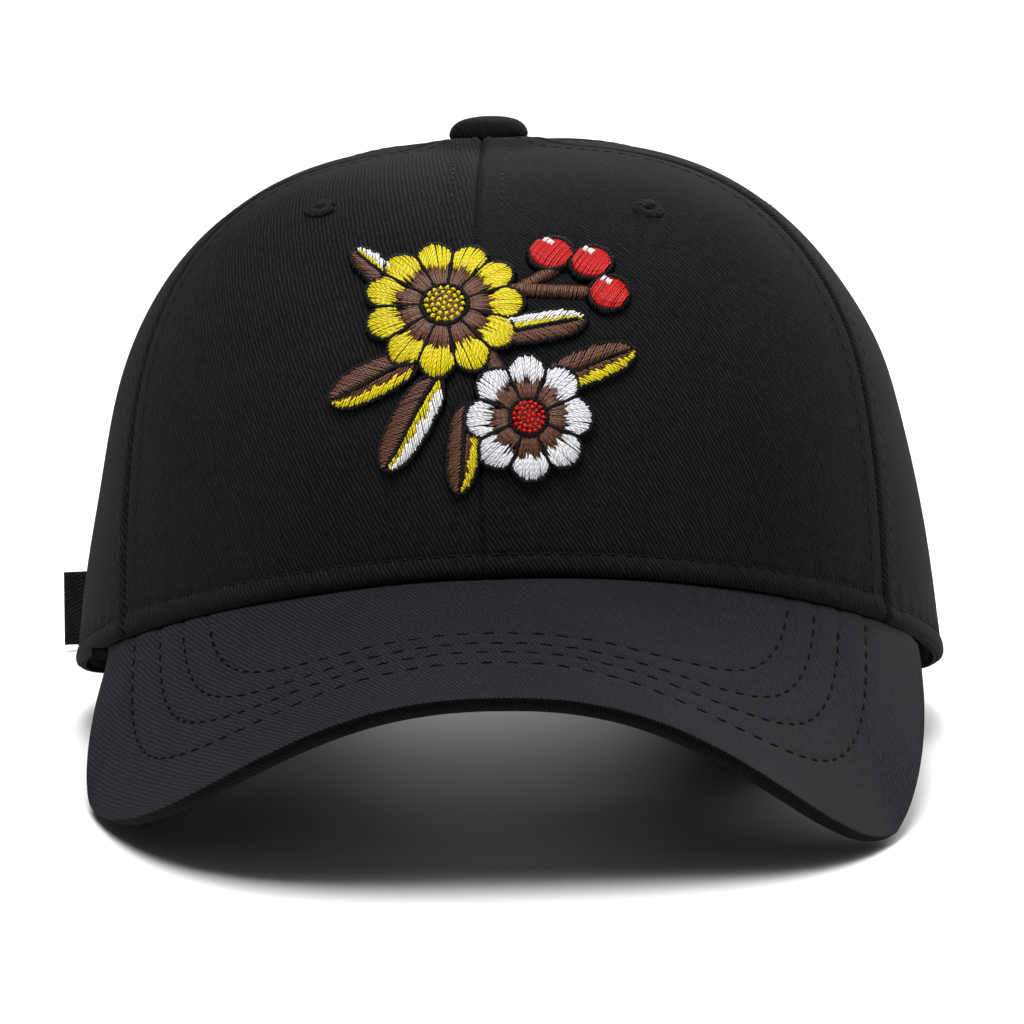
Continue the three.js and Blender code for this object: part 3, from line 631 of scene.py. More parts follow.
def row_offset(point, row):
    """Millimetres outside a row of stitches, whose plan is a superellipse about the peak's root: the value
    less 1 of (|x/a|^n + |y/b|^n)^(1/n), divided by its slope. Also the turn along the row."""
    x = (point[..., 0] - PEAK_SHIFT) / row["half"]
    y = np.minimum(point[..., 1] + PEAK_ROOT, 0.0) / row["reach"]
    n = PEAK_ROW_SHAPE
    value = (np.abs(x) ** n + np.abs(y) ** n) ** (1 / n)
    gx = np.abs(x) ** (n - 1) / row["half"]
    gy = np.abs(y) ** (n - 1) / row["reach"]
    slope = np.sqrt(gx**2 + gy**2) * np.maximum(value, 1e-6) ** (1 - n)
    return (value - 1) / np.maximum(slope, 1e-6), np.arctan2(x, -y)


def peak_relief(side, forward):
    """Height of the cloth on the peak: drawn down along each row of stitches, a little full between them."""
    point = peak_top(side, forward)
    relief = np.zeros(point.shape[:-1])
    for row in PEAK_ROWS:
        away, turn = row_offset(point, row)
        along = turn * row["reach"]
        pull = 0.72 + 0.28 * np.cos(2 * np.pi * along / PEAK_STITCH)
        relief -= 0.26 * bell(away, 0.0, 0.6) * pull
        relief += 0.06 * bell(np.abs(away), 2.6, 1.5)
    x, y = point[..., 0], point[..., 1]
    waves = np.sin(x / 9.0 + y / 17.0) * np.sin(y / 11.0 - x / 23.0)
    return relief + 0.12 * waves


def peak_cloth_map(side, points):
    """Places on the peak's cloth laid flat: the length along the section at the same distance to the front,
    from the peak's middle line, and that distance. side holds the columns' sides, points a grid of rows."""
    root, edge = peak_top(side, np.zeros_like(side)), peak_top(side, np.ones_like(side))
    levels = np.linspace(-36.0, -180.0, 124)
    run = np.minimum(edge[:, 1] - root[:, 1], -0.6)
    forward = np.clip((levels[:, None] - root[None, :, 1]) / run[None], -1.2, 1.6)
    section = root[None] + (edge - root)[None] * forward[..., None]
    step = np.hypot(np.diff(section[..., 0], axis=1), np.diff(section[..., 2], axis=1))
    width = np.concatenate([np.zeros((len(levels), 1)), np.cumsum(step, axis=1)], 1)
    width = width - width[:, len(side) // 2 : len(side) // 2 + 1]
    across = [np.interp(-points[:, c, 1], -levels, width[:, c]) for c in range(len(side))]
    return np.stack([np.stack(across, 1), points[..., 1]], -1)


def make_peak():
    """The peak as one closed surface: its section runs out over the top, round the edge with the seam of the
    two cloths in it, and back below, carried from one rear corner to the other. The edge band and the lower
    face get a much darker copy of the peak's twill, as painted shade."""
    columns = 421
    side = np.linspace(-1, 1, columns)
    side = np.sin(side * math.radians(84)) / math.sin(math.radians(84))
    top_rows = np.linspace(0, 1, 96)
    top_rows = 1 - (1 - top_rows) ** 1.15
    edge_turn = np.linspace(0, 180, 15)[1:-1]
    s, f = np.meshgrid(side, top_rows)
    normal = peak_normal(s, f)
    ahead_top = unit(peak_top(s, np.ones_like(f)) - peak_top(s, np.zeros_like(f)))
    top = peak_top(s, f) + normal * (peak_relief(s, f) * ramp(1 - f, 0.0, 0.03))[..., None]
    top = top - ahead_top * (PEAK_LIP * (1 - ramp(1 - f, 0.0, 0.06)))[..., None]
    s_edge, turn = np.meshgrid(side, edge_turn)
    one = np.ones_like(s_edge)
    edge_normal = peak_normal(s_edge, one)
    ahead = unit(peak_top(s_edge, one) - peak_top(s_edge, np.zeros_like(one)))
    depth = PEAK_THICKNESS * (1 - np.cos(np.radians(turn))) / 2
    wander = 0.12 * np.sin(s_edge * 61.0) + 0.1 * np.sin(s_edge * 143.0 + 1.0)
    swell = 1.25 * np.sin(np.radians(turn)) ** 0.8 - 0.35 * bell(depth, 0.8 + wander, 0.3)
    swell = swell - PEAK_LIP - (PEAK_SET_BACK - PEAK_LIP) * depth / PEAK_THICKNESS
    end = peak_top(s_edge, one) - edge_normal * depth[..., None] + ahead * swell[..., None]
    under_rows = top_rows[::-1]
    s_low, f_low = np.meshgrid(side, under_rows)
    low_normal = peak_normal(s_low, f_low)
    lift = PEAK_THICKNESS + 0.4 * peak_relief(s_low, f_low) * ramp(1 - f_low, 0.0, 0.03)
    low = peak_top(s_low, f_low) - low_normal * lift[..., None]
    ahead_low = unit(peak_top(s_low, np.ones_like(f_low)) - peak_top(s_low, np.zeros_like(f_low)))
    low = low - ahead_low * (PEAK_SET_BACK * (1 - ramp(1 - f_low, 0.0, 0.12)))[..., None]
    grid = np.concatenate([top, end, low])
    grid[..., 2] = np.maximum(grid[..., 2], FLOOR_CLEARANCE)
    rows = grid.shape[0]
    at = np.arange(rows * columns).reshape(rows, columns)
    body = quads(rows, columns)
    root = np.stack([at[-1, :-1], at[0, :-1], at[0, 1:], at[-1, 1:]], -1)
    half = rows // 2
    ends = []
    for column, turned in ((0, False), (columns - 1, True)):
        ring = at[:, column]
        strip = np.stack([ring[: half - 1], ring[1:half], ring[::-1][1:half], ring[::-1][: half - 1]], -1)
        ends.append(strip if turned else strip[:, ::-1])
    faces = np.concatenate([body, root, *ends])
    points = grid.reshape(-1, 3)
    sheet = peak_top(*np.meshgrid(side, np.concatenate([top_rows, np.ones(len(edge_turn)), under_rows])))
    cloth = peak_cloth_map(side, sheet)
    lengths = np.linalg.norm(np.diff(grid, axis=0), axis=-1)
    folded = np.concatenate([np.zeros((1, columns)), np.cumsum(lengths, axis=0)])
    beyond = np.maximum(folded - folded[len(top_rows) - 1], 0.0)
    beyond[len(top_rows) + len(edge_turn) :] = 0.0
    uv = (cloth + unit(ahead[0, :, :2]) * beyond[..., None]) / 1000.0
    piece = into_mesh(
        "peak_cloth", points, outward(points, faces), peak_twill, uv, ["peak"]
    )
    # From the edge band's second row on, and over the lower face, the darker copy paints the shade
    piece.data.materials.append(painted_shade_under_twill)
    row = faces.min(axis=1) // columns
    piece.data.polygons.foreach_set("material_index", (row >= len(top_rows) + 1).astype(np.int32))


make_peak()


# The button


def make_button():
    """A cloth-covered button turned about the crown's normal: radius and height follow a rounded, slightly
    flattened profile, with a gathered underside and the shank below it."""
    around = np.linspace(0, 2 * np.pi, 97)[:-1]
    profile = np.array([
        (0.01, 5.05), (1.2, 5.02), (2.6, 4.92), (4.0, 4.72), (5.2, 4.45), (6.2, 4.1), (7.0, 3.65),
        (7.7, 3.1), (8.1, 2.5), (8.25, 1.9), (8.2, 1.35), (7.95, 0.9), (7.4, 0.6), (6.4, 0.5),
        (4.6, 0.5), (3.0, 0.5), (2.0, 0.45), (2.0, -1.4), (2.0, -3.2), (4.0, -3.25), (4.0, -4.2),
        (0.01, -4.2),
    ])
    steps = run_along(profile)
    radius, height = places_on(profile, steps, np.linspace(0, steps[-1], 90)).T
    a, r = np.meshgrid(around, radius)
    h = np.broadcast_to(height[:, None], a.shape)
    h = h + 0.5 * ramp(h, 1.5, 4.5)
    cloth = h > 0
    gather = 0.10 * np.sin(16 * a + 0.6 * np.sin(3 * a))
    gather = gather * ramp(r, 5.5, 8.0) * (1 - ramp(h, 1.0, 3.2)) * cloth
    lump = 0.08 * np.sin(2 * a + 0.5) * ramp(r, 3.0, 8.0)
    east = unit(np.cross(np.array([0.0, 1.0, 0.0]), SEAT_NORMAL))
    north = np.cross(SEAT_NORMAL, east)
    rr = r + gather + lump * cloth
    points = (
        SEAT
        + (rr * np.cos(a))[..., None] * east
        + (rr * np.sin(a))[..., None] * north
        + h[..., None] * SEAT_NORMAL
    ).reshape(-1, 3)
    uv = np.stack([rr * np.cos(a), rr * np.sin(a) + np.maximum(2.0 - h, 0)], -1) / 1000.0
    faces = closed_round(points, *a.shape)
    into_mesh("button_cloth", points, faces, button_twill, uv, ["button"])


make_button()


# Threads


def tubes(centres, normals, radius, sides=6, flat=0.85):
    """Closed threads: a flattened ring of the given radius carried along each line of centres, with its
    ends pinched. centres and normals are (threads, rings, 3), radius (threads, rings)."""
    along = unit(np.gradient(centres, axis=1))
    side = unit(np.cross(along, normals))
    up = np.cross(side, along)
    turn = np.linspace(0, 2 * np.pi, sides, endpoint=False)
    ring = (
        np.cos(turn)[None, None, :, None] * side[:, :, None]
        + flat * np.sin(turn)[None, None, :, None] * up[:, :, None]
    )
    points = centres[:, :, None] + radius[:, :, None, None] * ring
    threads, rings = centres.shape[:2]
    at = np.arange(threads * rings * sides).reshape(threads, rings, sides)
    nxt = np.roll(at, -1, axis=2)
    body = np.stack([at[:, :-1], at[:, 1:], nxt[:, 1:], nxt[:, :-1]], -1).reshape(-1, 4)
    caps = [list(row) for row in at[:, 0]] + [list(row) for row in at[:, -1, ::-1]]
    length = np.concatenate(
        [np.zeros((threads, 1)), np.cumsum(np.linalg.norm(np.diff(centres, axis=1), axis=-1), axis=1)], 1
    )
    uv = np.stack(np.broadcast_arrays(turn / (2 * np.pi), length[..., None] / 1000.0), -1)
    return points.reshape(-1, 3), body, caps, uv.reshape(-1, 2)


def thread_piece(name, bundles, material, replaces=(), sides=6):
    """One piece of many threads, from bundles of (centres, normals, radius)."""
    points, faces, uvs, base = [], [], [], 0
    for bundle in bundles:
        p, body, caps, uv = tubes(*bundle, sides=sides)
        faces += (body + base).tolist() + [[i + base for i in cap] for cap in caps]
        points.append(p)
        uvs.append(uv)
        base += len(p)
    into_mesh(name, np.concatenate(points), faces, material, np.concatenate(uvs), replaces)


def row_of_stitches(line, normals, pitch, gap, radius, proud=0.5, rings=6, offset=0.0):
    """Stitches along a line on the cloth: each rises out of its needle hole, lies along the cloth with part
    of its thickness showing, and goes down again. Returns a bundle for thread_piece."""
    reach = run_along(line)
    count = max(int((reach[-1] - offset) / pitch), 1)
    t = np.linspace(0, 1, rings)
    places = offset + np.arange(count)[:, None] * pitch + gap / 2 + t[None] * (pitch - gap)
    centre = places_on(line, reach, places)
    normal = unit(places_on(normals, reach, places))
    rise = radius * (proud - 2.4 * np.abs(2 * t - 1) ** 5)
    centre = centre + normal * rise[None, :, None]
    thick = radius * (1 - 0.25 * np.abs(2 * t - 1) ** 4)
    return centre, normal, np.broadcast_to(thick, places.shape)


def seam_line(name, which, distance):
    """The line on a panel a given distance from one of its seams, raised by the cloth's relief."""
    turn, share, from_first, from_last, _, down_mm, _, relief = dressed_panel(name)
    away = from_first if which == 0 else from_last
    if which == 1:
        turn, share, away, relief, down_mm = (a[:, ::-1] for a in (turn, share, away, relief, down_mm))
    rows = []
    for r in range(turn.shape[0]):
        if away[r].max() < distance * 2.2 or down_mm[r, 0] < 11.0:
            continue
        rows.append([np.interp(distance, away[r], a[r]) for a in (turn, share, relief)])
    rows = np.array(rows)
    return crown_at(rows[:, 0], rows[:, 1], rows[:, 2])


def rim_line(name, distance):
    """The line on a panel a given distance above the rim, raised by the cloth's relief."""
    turn, share, from_first, from_last, from_rim, _, _, relief = dressed_panel(name)
    found = []
    for c in range(turn.shape[1]):
        if from_rim[-1, c] > 0.5 or min(from_first[-1, c], from_last[-1, c]) < 1.0:
            continue
        found.append([np.interp(-distance, -from_rim[:, c], a[:, c]) for a in (turn, share, relief)])
    found = np.array(found)
    return crown_at(found[:, 0], found[:, 1], found[:, 2])


def arch_line(name, distance):
    """The line on a back panel a given distance from the edge of the back opening."""
    side = 1.0 if name.endswith("left") else -1.0
    angle = np.linspace(0.02, np.pi / 2 - 0.02, 200)
    a, b = ARCH_AXES
    x, y = (a + distance) * np.sin(angle), (b + distance) * np.cos(angle)
    turn = SEAM_BACK + side * np.degrees(x / UNROLLED_RADIUS)
    share = 1 - y / UNROLLED_LENGTH
    keep = x > 1.2
    return crown_at(turn[keep], share[keep], 0.32 if distance > 3 else 0.35)


def crown_stitches():
    """The rows beside each seam, above the rim and round the back opening."""
    bundles = []
    for name in PANELS:
        for which in (0, 1):
            line, normal = seam_line(name, which, SEAM_ROW)
            bundles.append(
                row_of_stitches(line, normal, SEAM_STITCH, STITCH_GAP, THREAD, proud=0.1, offset=0.7 * which)
            )
        line, normal = rim_line(name, RIM_ROW)
        bundles.append(row_of_stitches(line, normal, SEAM_STITCH, STITCH_GAP, THREAD, proud=0.45))
        if name.startswith("back"):
            for distance in ARCH_ROWS:
                line, normal = arch_line(name, distance)
                bundles.append(row_of_stitches(line, normal, SEAM_STITCH, STITCH_GAP, THREAD))
    thread_piece("crown_stitches", bundles, black_thread)


crown_stitches()


def on_peak(x, y):
    """Side and forward of the peak's point above a place in plan, by Newton's steps on its plan."""
    side = np.clip((x - PEAK_SHIFT) / PEAK_HALF_WIDTH, -0.9, 0.9) * 0.9
    forward = np.full_like(side, 0.5)
    for _ in range(25):
        here = peak_top(side, forward)[..., :2]
        step = 1e-4
        by_side = (peak_top(side + step, forward)[..., :2] - here) / step
        by_forward = (peak_top(side, forward + step)[..., :2] - here) / step
        miss = np.stack([x, y], -1) - here
        det = by_side[..., 0] * by_forward[..., 1] - by_side[..., 1] * by_forward[..., 0]
        det = np.where(np.abs(det) < 1e-6, 1e-6, det)
        ds = (miss[..., 0] * by_forward[..., 1] - miss[..., 1] * by_forward[..., 0]) / det
        df = (by_side[..., 0] * miss[..., 1] - by_side[..., 1] * miss[..., 0]) / det
        side = np.clip(side + np.clip(ds, -0.1, 0.1), -0.985, 0.985)
        forward = np.clip(forward + np.clip(df, -0.2, 0.2), 0.0, 1.0)
    return side, forward


def peak_row_line(row, below=False):
    """A row of stitches on the peak, from the crown on one side round the front to the crown on the other."""
    turn = np.radians(np.linspace(-89.5, 89.5, 700))
    n = 2 / PEAK_ROW_SHAPE
    x = PEAK_SHIFT + row["half"] * np.sign(np.sin(turn)) * np.abs(np.sin(turn)) ** n
    y = -PEAK_ROOT - row["reach"] * np.abs(np.cos(turn)) ** n
    side, forward = on_peak(x, y)
    point = peak_top(side, forward)
    fits = (np.hypot(point[:, 0] - x, point[:, 1] - y) < 0.05) & (forward > 0.035)
    middle = len(x) // 2
    first = middle - np.argmin(fits[middle::-1]) + 1
    last = middle + np.argmin(np.append(fits[middle:], False))
    side, forward = side[first:last], forward[first:last]
    normal = peak_normal(side, forward)
    height = peak_relief(side, forward)
    if below:
        return peak_top(side, forward) - normal * (PEAK_THICKNESS + 0.4 * height)[:, None], -normal
    return peak_top(side, forward) + normal * height[:, None], normal


def peak_stitches():
    """The peak's rows of stitches, on its upper face and, through the board, on its lower face."""
    bundles = []
    for i, row in enumerate(PEAK_ROWS):
        for below in (False, True):
            line, normal = peak_row_line(row, below)
            bundles.append(row_of_stitches(
                line, normal, PEAK_STITCH, PEAK_STITCH_GAP, PEAK_THREAD, proud=0.3, offset=1.1 * i
            ))
    thread_piece("peak_stitches", bundles, peak_thread)


peak_stitches()


# The eyelets


def make_eyelet(name):
    """A vent hole bound in thread: radial stitches over a padded ring, from the hole out over the cloth, and
    a barrel of thread through the panel."""
    apex, normal = crown_at(*PANELS[name]["eyelet"])
    east = unit(np.cross(np.array([0.0, 0.0, 1.0]), normal))
    north = np.cross(normal, east)
    rng = np.random.default_rng(len(name) * 7)
    count, rings = 30, 9
    turn = np.arange(count)[:, None] * 2 * np.pi / count + rng.normal(0, 0.02, (count, 1))
    t = np.linspace(0, 1, rings)[None]
    reach = 3.1 + 0.22 * np.sin(3 * turn + len(name)) + rng.normal(0, 0.13, (count, 1))
    hole = 0.85 + 0.12 * np.sin(2 * turn + 1.0) + rng.normal(0, 0.04, (count, 1))
    radius = np.where(t < 0.25, hole, hole + (reach - hole) * ((t - 0.25) / 0.75))
    height = np.where(t < 0.25, -1.9 + 2.2 * t / 0.25, 0.3 + 0.14 * np.sin(np.pi * (t - 0.25) / 0.75))
    height = height + rng.normal(0, 0.05, (count, 1)) - 0.65 * ramp(t, 0.86, 1.0)
    lean = turn + 0.16 * t
    spot = (
        (radius * np.cos(lean))[..., None] * east
        + (radius * np.sin(lean))[..., None] * north
        + height[..., None] * normal
    )
    outward_normal = unit(
        np.broadcast_to(normal, spot.shape) * np.where(t < 0.25, 0.15, 1.0)[..., None]
        + (np.cos(lean)[..., None] * east + np.sin(lean)[..., None] * north)
        * np.where(t < 0.25, -1.0, 0.0)[..., None]
    )
    thick = 0.29 + 0.05 * t * np.ones((count, 1))
    bundle = (apex + spot, outward_normal, thick)
    thread_piece("eyelet_" + name + "_stitched", [bundle], eyelet_thread, ["eyelet_" + name])


for panel_name in PANELS:
    make_eyelet(panel_name)


# The sweatband

BAND_TOP, BAND_THICKNESS, BAND_ROWS = 29.0, 1.2, (25.4, 6.0)


def band_depth(turn):
    """Millimetres from the crown's face to the band's: the wall and a gap, wider beside the back opening,
    where the strap's sewn ends lie between."""
    return WALL + 0.5 + 1.85 * (1 - ramp(from_opening(turn), OPENING_HALF_TURN + 10, OPENING_HALF_TURN + 18))


def make_sweatband():
    """The band inside the rim: a wall between two depths below the crown's face, deeper beside the opening
    and down over the peak's root in front, with rounded edges, a stitched upper fold and slight gathers."""
    rows, columns = 34, 420
    start = SEAM_BACK - 360 + OPENING_HALF_TURN + 0.6
    end = SEAM_BACK - OPENING_HALF_TURN - 0.6
    turn, down = np.meshgrid(np.linspace(start, end, columns), np.linspace(0, 1, rows))
    reach = 1 / (CROWN_TOP - rim_height(np.radians(turn))) * 2 / np.pi
    low = 1.2 - 3.4 * ramp(np.cos(np.radians(turn)), 0.4, 0.55)
    height = BAND_TOP + (low - BAND_TOP) * down
    depth = band_depth(turn)
    around = np.radians(turn) * 90.0
    gather = 0.10 * np.sin(around / 1.9 + 1.4 * np.sin(around / 13.0)) * (0.3 + 0.7 * bell(height, 25.0, 5.0))
    row = 0.28 * bell(height, BAND_ROWS[0], 0.6) + 0.22 * bell(height, BAND_ROWS[1], 0.6)
    edge = 0.5 * (bell(height, BAND_TOP, 0.5) + bell(height, low, 0.5))
    share = 1 - height * reach
    near = crown_at(turn, share, -(depth + edge))[0]
    far = crown_at(turn, share, -(depth + BAND_THICKNESS + gather * 0.9 - row - edge))[0]
    points, faces = shell(near, far)
    uv = np.stack([around, height], -1).reshape(-1, 2) / 1000.0
    into_mesh(
        "sweatband_cloth", points, outward(points, faces), band_twill, np.concatenate([uv, uv]),
        ["sweatband"],
    )
    line_turn = np.linspace(start + 1, end - 1, 900)
    bundles = []
    deep = band_depth(line_turn) + BAND_THICKNESS
    for high in BAND_ROWS:
        line_share = 1 - high / (CROWN_TOP - rim_height(np.radians(line_turn))) * 2 / np.pi
        line, normal = crown_at(line_turn, line_share, -(deep - 0.2))
        bundles.append(row_of_stitches(line, -normal, SEAM_STITCH, STITCH_GAP, THREAD))
    thread_piece("sweatband_stitches", bundles, black_thread)


make_sweatband()


# The strap, its loop and the buckle

STRAP_LOW, STRAP_WIDTH, STRAP_THICKNESS, LOOP_THICKNESS = 1.8, 17.0, 1.5, 1.2
STRAP_START_TURN, STRAP_LENGTH, FIT = 193.0, 83.5, 0.35
RIBBON_ROW, RIBBON_THREAD, RIBBON_STEP = 1.9, 0.17, 0.75
BUCKLE_START, BUCKLE_BAR, BUCKLE_SLOT, BUCKLE_THICKNESS = -4.0, 2.0, 6.0, 1.4
BUCKLE_LENGTH = 3 * BUCKLE_BAR + 2 * BUCKLE_SLOT
GUIDE = (HALF_WIDTH - WALL / 2, HALF_LENGTH - WALL / 2)


def guide_round(turn, offset):
    """The strap's guide line seen from above: an ellipse with the crown's axes, moved out by an offset."""
    t = np.radians(turn)
    out = unit(np.stack([np.sin(t) / GUIDE[0], -np.cos(t) / GUIDE[1]], -1))
    place = np.stack([GUIDE[0] * np.sin(t), -GUIDE[1] * np.cos(t)], -1)
    return place + out * np.asarray(offset, float)[..., None]


LINE_START = guide_round(STRAP_START_TURN, 0.0)
LINE_OUT = guide_round(STRAP_START_TURN, 1.0) - LINE_START
LINE_AHEAD = np.array([-LINE_OUT[1], LINE_OUT[0]])


def guide_line(distance, offset):
    """The straight run of the guide line, at a tangent to its round part."""
    distance, offset = np.asarray(distance, float)[..., None], np.asarray(offset, float)[..., None]
    return LINE_START + LINE_AHEAD * distance + LINE_OUT * offset


def behind_panel(turn, height, depth):
    """A point behind a panel, for a sewn end."""
    return crown_at(turn, 1 - height / CROWN_TOP * 2 / np.pi, -(WALL + FIT + depth))[0]


def upright(flat, height):
    """Plan points at a height."""
    return np.concatenate([flat, np.broadcast_to(height, flat.shape[:-1] + (1,))], -1)


def ribbon(name, low, high, thickness, replaces):
    """A flat band on edge: a section with rounded edges carried along the line between its lower and upper
    edges, with a row of stitches near both edges."""
    line = run_along((low + high) / 2)
    fine = np.linspace(0, line[-1], int(line[-1] / RIBBON_STEP))
    low, high = places_on(low, line, fine), places_on(high, line, fine)
    ahead = np.gradient((low + high) / 2, axis=0)
    ahead[:, 2] = 0
    ahead = unit(ahead)
    out = np.stack([ahead[:, 1], -ahead[:, 0], np.zeros(len(ahead))], -1)
    width = np.linalg.norm(high - low, axis=-1).mean()
    half, edge = width / 2, thickness / 2
    face = np.linspace(-half + edge, half - edge, 40)
    arc = np.linspace(0, np.pi, 8)[1:-1]
    dip = -0.16 * bell(half - np.abs(face), RIBBON_ROW, 0.45)
    across = np.concatenate([
        face, half - edge + edge * np.sin(arc), face[::-1], -half + edge - edge * np.sin(arc)
    ])
    thick = np.concatenate([edge + dip, edge * np.cos(arc), -edge - dip, -edge * np.cos(arc)])
    middle = (low + high) / 2
    rise = unit(high - low)
    grid = middle[:, None] + across[None, :, None] * rise[:, None] + thick[None, :, None] * out[:, None]
    points = grid.reshape(-1, 3)
    uv = np.stack(np.broadcast_arrays(across[None], fine[:, None]), -1).reshape(-1, 2) / 1000.0
    into_mesh(name, points, closed_round(points, *grid.shape[:2]), crown_twill, uv, replaces)
    bundles = []
    for sign in (-1, 1):
        for face_side in (-1, 1):
            spot = middle + rise * (sign * (half - RIBBON_ROW)) + out * (face_side * (edge - 0.12))
            bundles.append(
                row_of_stitches(spot, out * face_side, SEAM_STITCH, STITCH_GAP, RIBBON_THREAD)
            )
    thread_piece(name + "_stitches", bundles, black_thread)


UNDER = -(BUCKLE_THICKNESS / 2 + FIT + STRAP_THICKNESS / 2)
OVER_LOOP = -UNDER + LOOP_THICKNESS + FIT


def make_strap():
    """The strap: sewn behind the right back panel, across the opening, up through the buckle, and a tail."""
    edge = SEAM_BACK - OPENING_HALF_TURN
    turn = np.arange(edge - 8, STRAP_START_TURN - 3, 1.0)
    share = ramp(turn, edge + 1, edge + 12)[:, None]
    high_z = STRAP_LOW + STRAP_WIDTH
    sewn = [behind_panel(turn, z, STRAP_THICKNESS / 2) for z in (STRAP_LOW, high_z)]
    free = [upright(guide_round(turn, np.full(turn.shape, UNDER)), z) for z in (STRAP_LOW, high_z)]
    slot_start = BUCKLE_START + BUCKLE_BAR
    loop_start = BUCKLE_START + BUCKLE_LENGTH - BUCKLE_BAR - FIT - LOOP_THICKNESS
    run = np.arange(BUCKLE_START, STRAP_LENGTH + 0.01, 0.5)
    offset = UNDER - 2 * UNDER * ramp(run, slot_start, slot_start + BUCKLE_SLOT)
    offset = offset + (OVER_LOOP + UNDER) * ramp(run, loop_start - 5, loop_start - 0.5)
    line = [upright(guide_line(run, offset), z) for z in (STRAP_LOW, high_z)]
    low, high = (
        np.concatenate([s * (1 - share) + f * share, l]) for s, f, l in zip(sewn, free, line)
    )
    ribbon("strap_cloth", low, high, STRAP_THICKNESS, ["strap"])


def make_strap_loop():
    """The loop: sewn behind the left back panel and folded round the buckle's far bar."""
    middle = BUCKLE_START + BUCKLE_LENGTH - BUCKLE_BAR / 2
    side = BUCKLE_THICKNESS / 2 + FIT + LOOP_THICKNESS / 2
    fold = BUCKLE_BAR / 2 + FIT + LOOP_THICKNESS / 2
    edge = SEAM_BACK + OPENING_HALF_TURN
    high_z = STRAP_LOW + STRAP_WIDTH
    turn = np.arange(edge + 8, edge - 3, -1.0)
    angle = np.radians(np.arange(-90, 91, 7.5))
    run = np.arange(middle + 0.6, middle + 6.01, 0.5)
    settle = ramp(run, middle + 1, middle + 6)
    ends = []
    for z in (STRAP_LOW, high_z):
        ends.append(np.concatenate([
            behind_panel(turn, z, LOOP_THICKNESS / 2),
            upright(guide_line(np.array([middle + 1.0]), np.array([-side])), z),
            upright(guide_line(middle - fold * np.cos(angle), side * np.sin(angle)), z),
            upright(guide_line(run, side - 0.5 * settle), z),
        ]))
    ribbon("strap_loop_cloth", ends[0], ends[1], LOOP_THICKNESS, ["strap_loop"])


make_strap()
make_strap_loop()


# The embroidery: every stitch is a thread laid over the raised ground of its motif

DESIGN_TURN, DESIGN_HEIGHT, GROUND = -1.6, 46.0, 1.05
STITCH_WIDTH = 0.42
OUTLINE_IN, OUTLINE_OUT, OUTLINE_PITCH = 0.62, 0.3, 0.36

# Motifs in millimetres from the design's middle, as in the part's source. lift is over the lowest ground
FLOWERS = [
    {"x": -7.0, "y": 8.6, "radius": 15.8, "petals": 11, "depth": 0.2, "lift": 0.25, "heart": 4.4,
     "tip": "yellow", "throat": "brown", "seeds": "yellow"},
    {"x": 8.5, "y": -15.3, "radius": 12.6, "petals": 8, "depth": 0.22, "lift": 0.35, "heart": 3.5,
     "tip": "white", "throat": "brown", "seeds": "red"},
]
LEAVES = [
    {"x": -21.2, "y": -6.2, "length": 19.0, "width": 9.5, "direction": 203.0, "sides": ("yellow", "brown")},
    {"x": -14.2, "y": -15.2, "length": 21.0, "width": 10.0, "direction": 238.0, "sides": ("white", "brown")},
    {"x": -4.2, "y": -20.8, "length": 18.0, "width": 8.0, "direction": 262.0, "sides": ("yellow", "brown")},
    {"x": 20.6, "y": -5.2, "length": 19.0, "width": 9.0, "direction": 20.0, "sides": ("brown", "yellow")},
    {"x": -19.4, "y": 17.2, "length": 15.0, "width": 7.5, "direction": 130.0, "sides": ("brown", "white")},
    {"x": 11.5, "y": 3.2, "length": 18.0, "width": 8.0, "direction": 8.0, "sides": ("white", "brown")},
]
STEMS = [
    {"x": 10.5, "y": 14.0, "length": 22.0, "width": 2.6, "direction": 34.0},
    {"x": 14.0, "y": 11.4, "length": 24.0, "width": 2.6, "direction": -6.0},
    {"x": 2.0, "y": -4.5, "length": 24.0, "width": 4.4, "direction": -60.0},
]
BERRIES = [
    {"x": 14.0, "y": 20.4, "radius": 4.5},
    {"x": 21.6, "y": 17.4, "radius": 4.2},
    {"x": 24.8, "y": 9.9, "radius": 4.0},
]


def front_heights():
    """Shares of the way to the rim up the front of the crown, and their lengths from the rim."""
    shares = 1 - 0.8 * np.linspace(0, 1, 161)
    return shares, run_along(crown_at(np.full(161, DESIGN_TURN), shares)[0])


FRONT_SHARES, FRONT_HEIGHTS = front_heights()


def on_front(x, y, above):
    """Points over the crown's front: y millimetres up it from the design's middle, and x across, at the
    number of millimetres that a degree of turn has at that height. Also the normals there."""
    share = np.interp(DESIGN_HEIGHT + y, FRONT_HEIGHTS, FRONT_SHARES)
    here = crown_at(DESIGN_TURN, share)[0]
    per_degree = np.linalg.norm(crown_at(DESIGN_TURN + 1.0, share)[0] - here, axis=-1)
    return crown_at(DESIGN_TURN + x / per_degree, share, above)


def flower_outline(motif):
    """Radius of round lobes about the flower's middle."""
    return lambda turn: motif["radius"] * (
        1 - motif["depth"] + motif["depth"] * np.abs(np.cos(motif["petals"] / 2 * turn)) ** 0.7
    )


def leaf_outline(motif):
    """Radius of an ellipse about the leaf's middle, drawn in between its ends and its sides."""
    def radius(turn):
        """The ellipse's radius at a turn, times a share that is 1 at its ends and 0.82 at its sides."""
        flat = 1 / np.hypot(np.cos(turn) / (motif["length"] / 2), np.sin(turn) / (motif["width"] / 2))
        return flat * (0.82 + 0.18 * np.abs(np.cos(turn)) ** 4)
    return radius


def to_outline(outline, start, direction):
    """Millimetres from points inside an outline to it along a direction, by halving an interval."""
    low, high = np.zeros(len(start)), np.full(len(start), 40.0)
    for _ in range(26):
        middle = (low + high) / 2
        at = start + direction * middle[:, None]
        inside = np.hypot(at[:, 0], at[:, 1]) < outline(np.arctan2(at[:, 1], at[:, 0]))
        low, high = np.where(inside, middle, low), np.where(inside, high, middle)
    return low


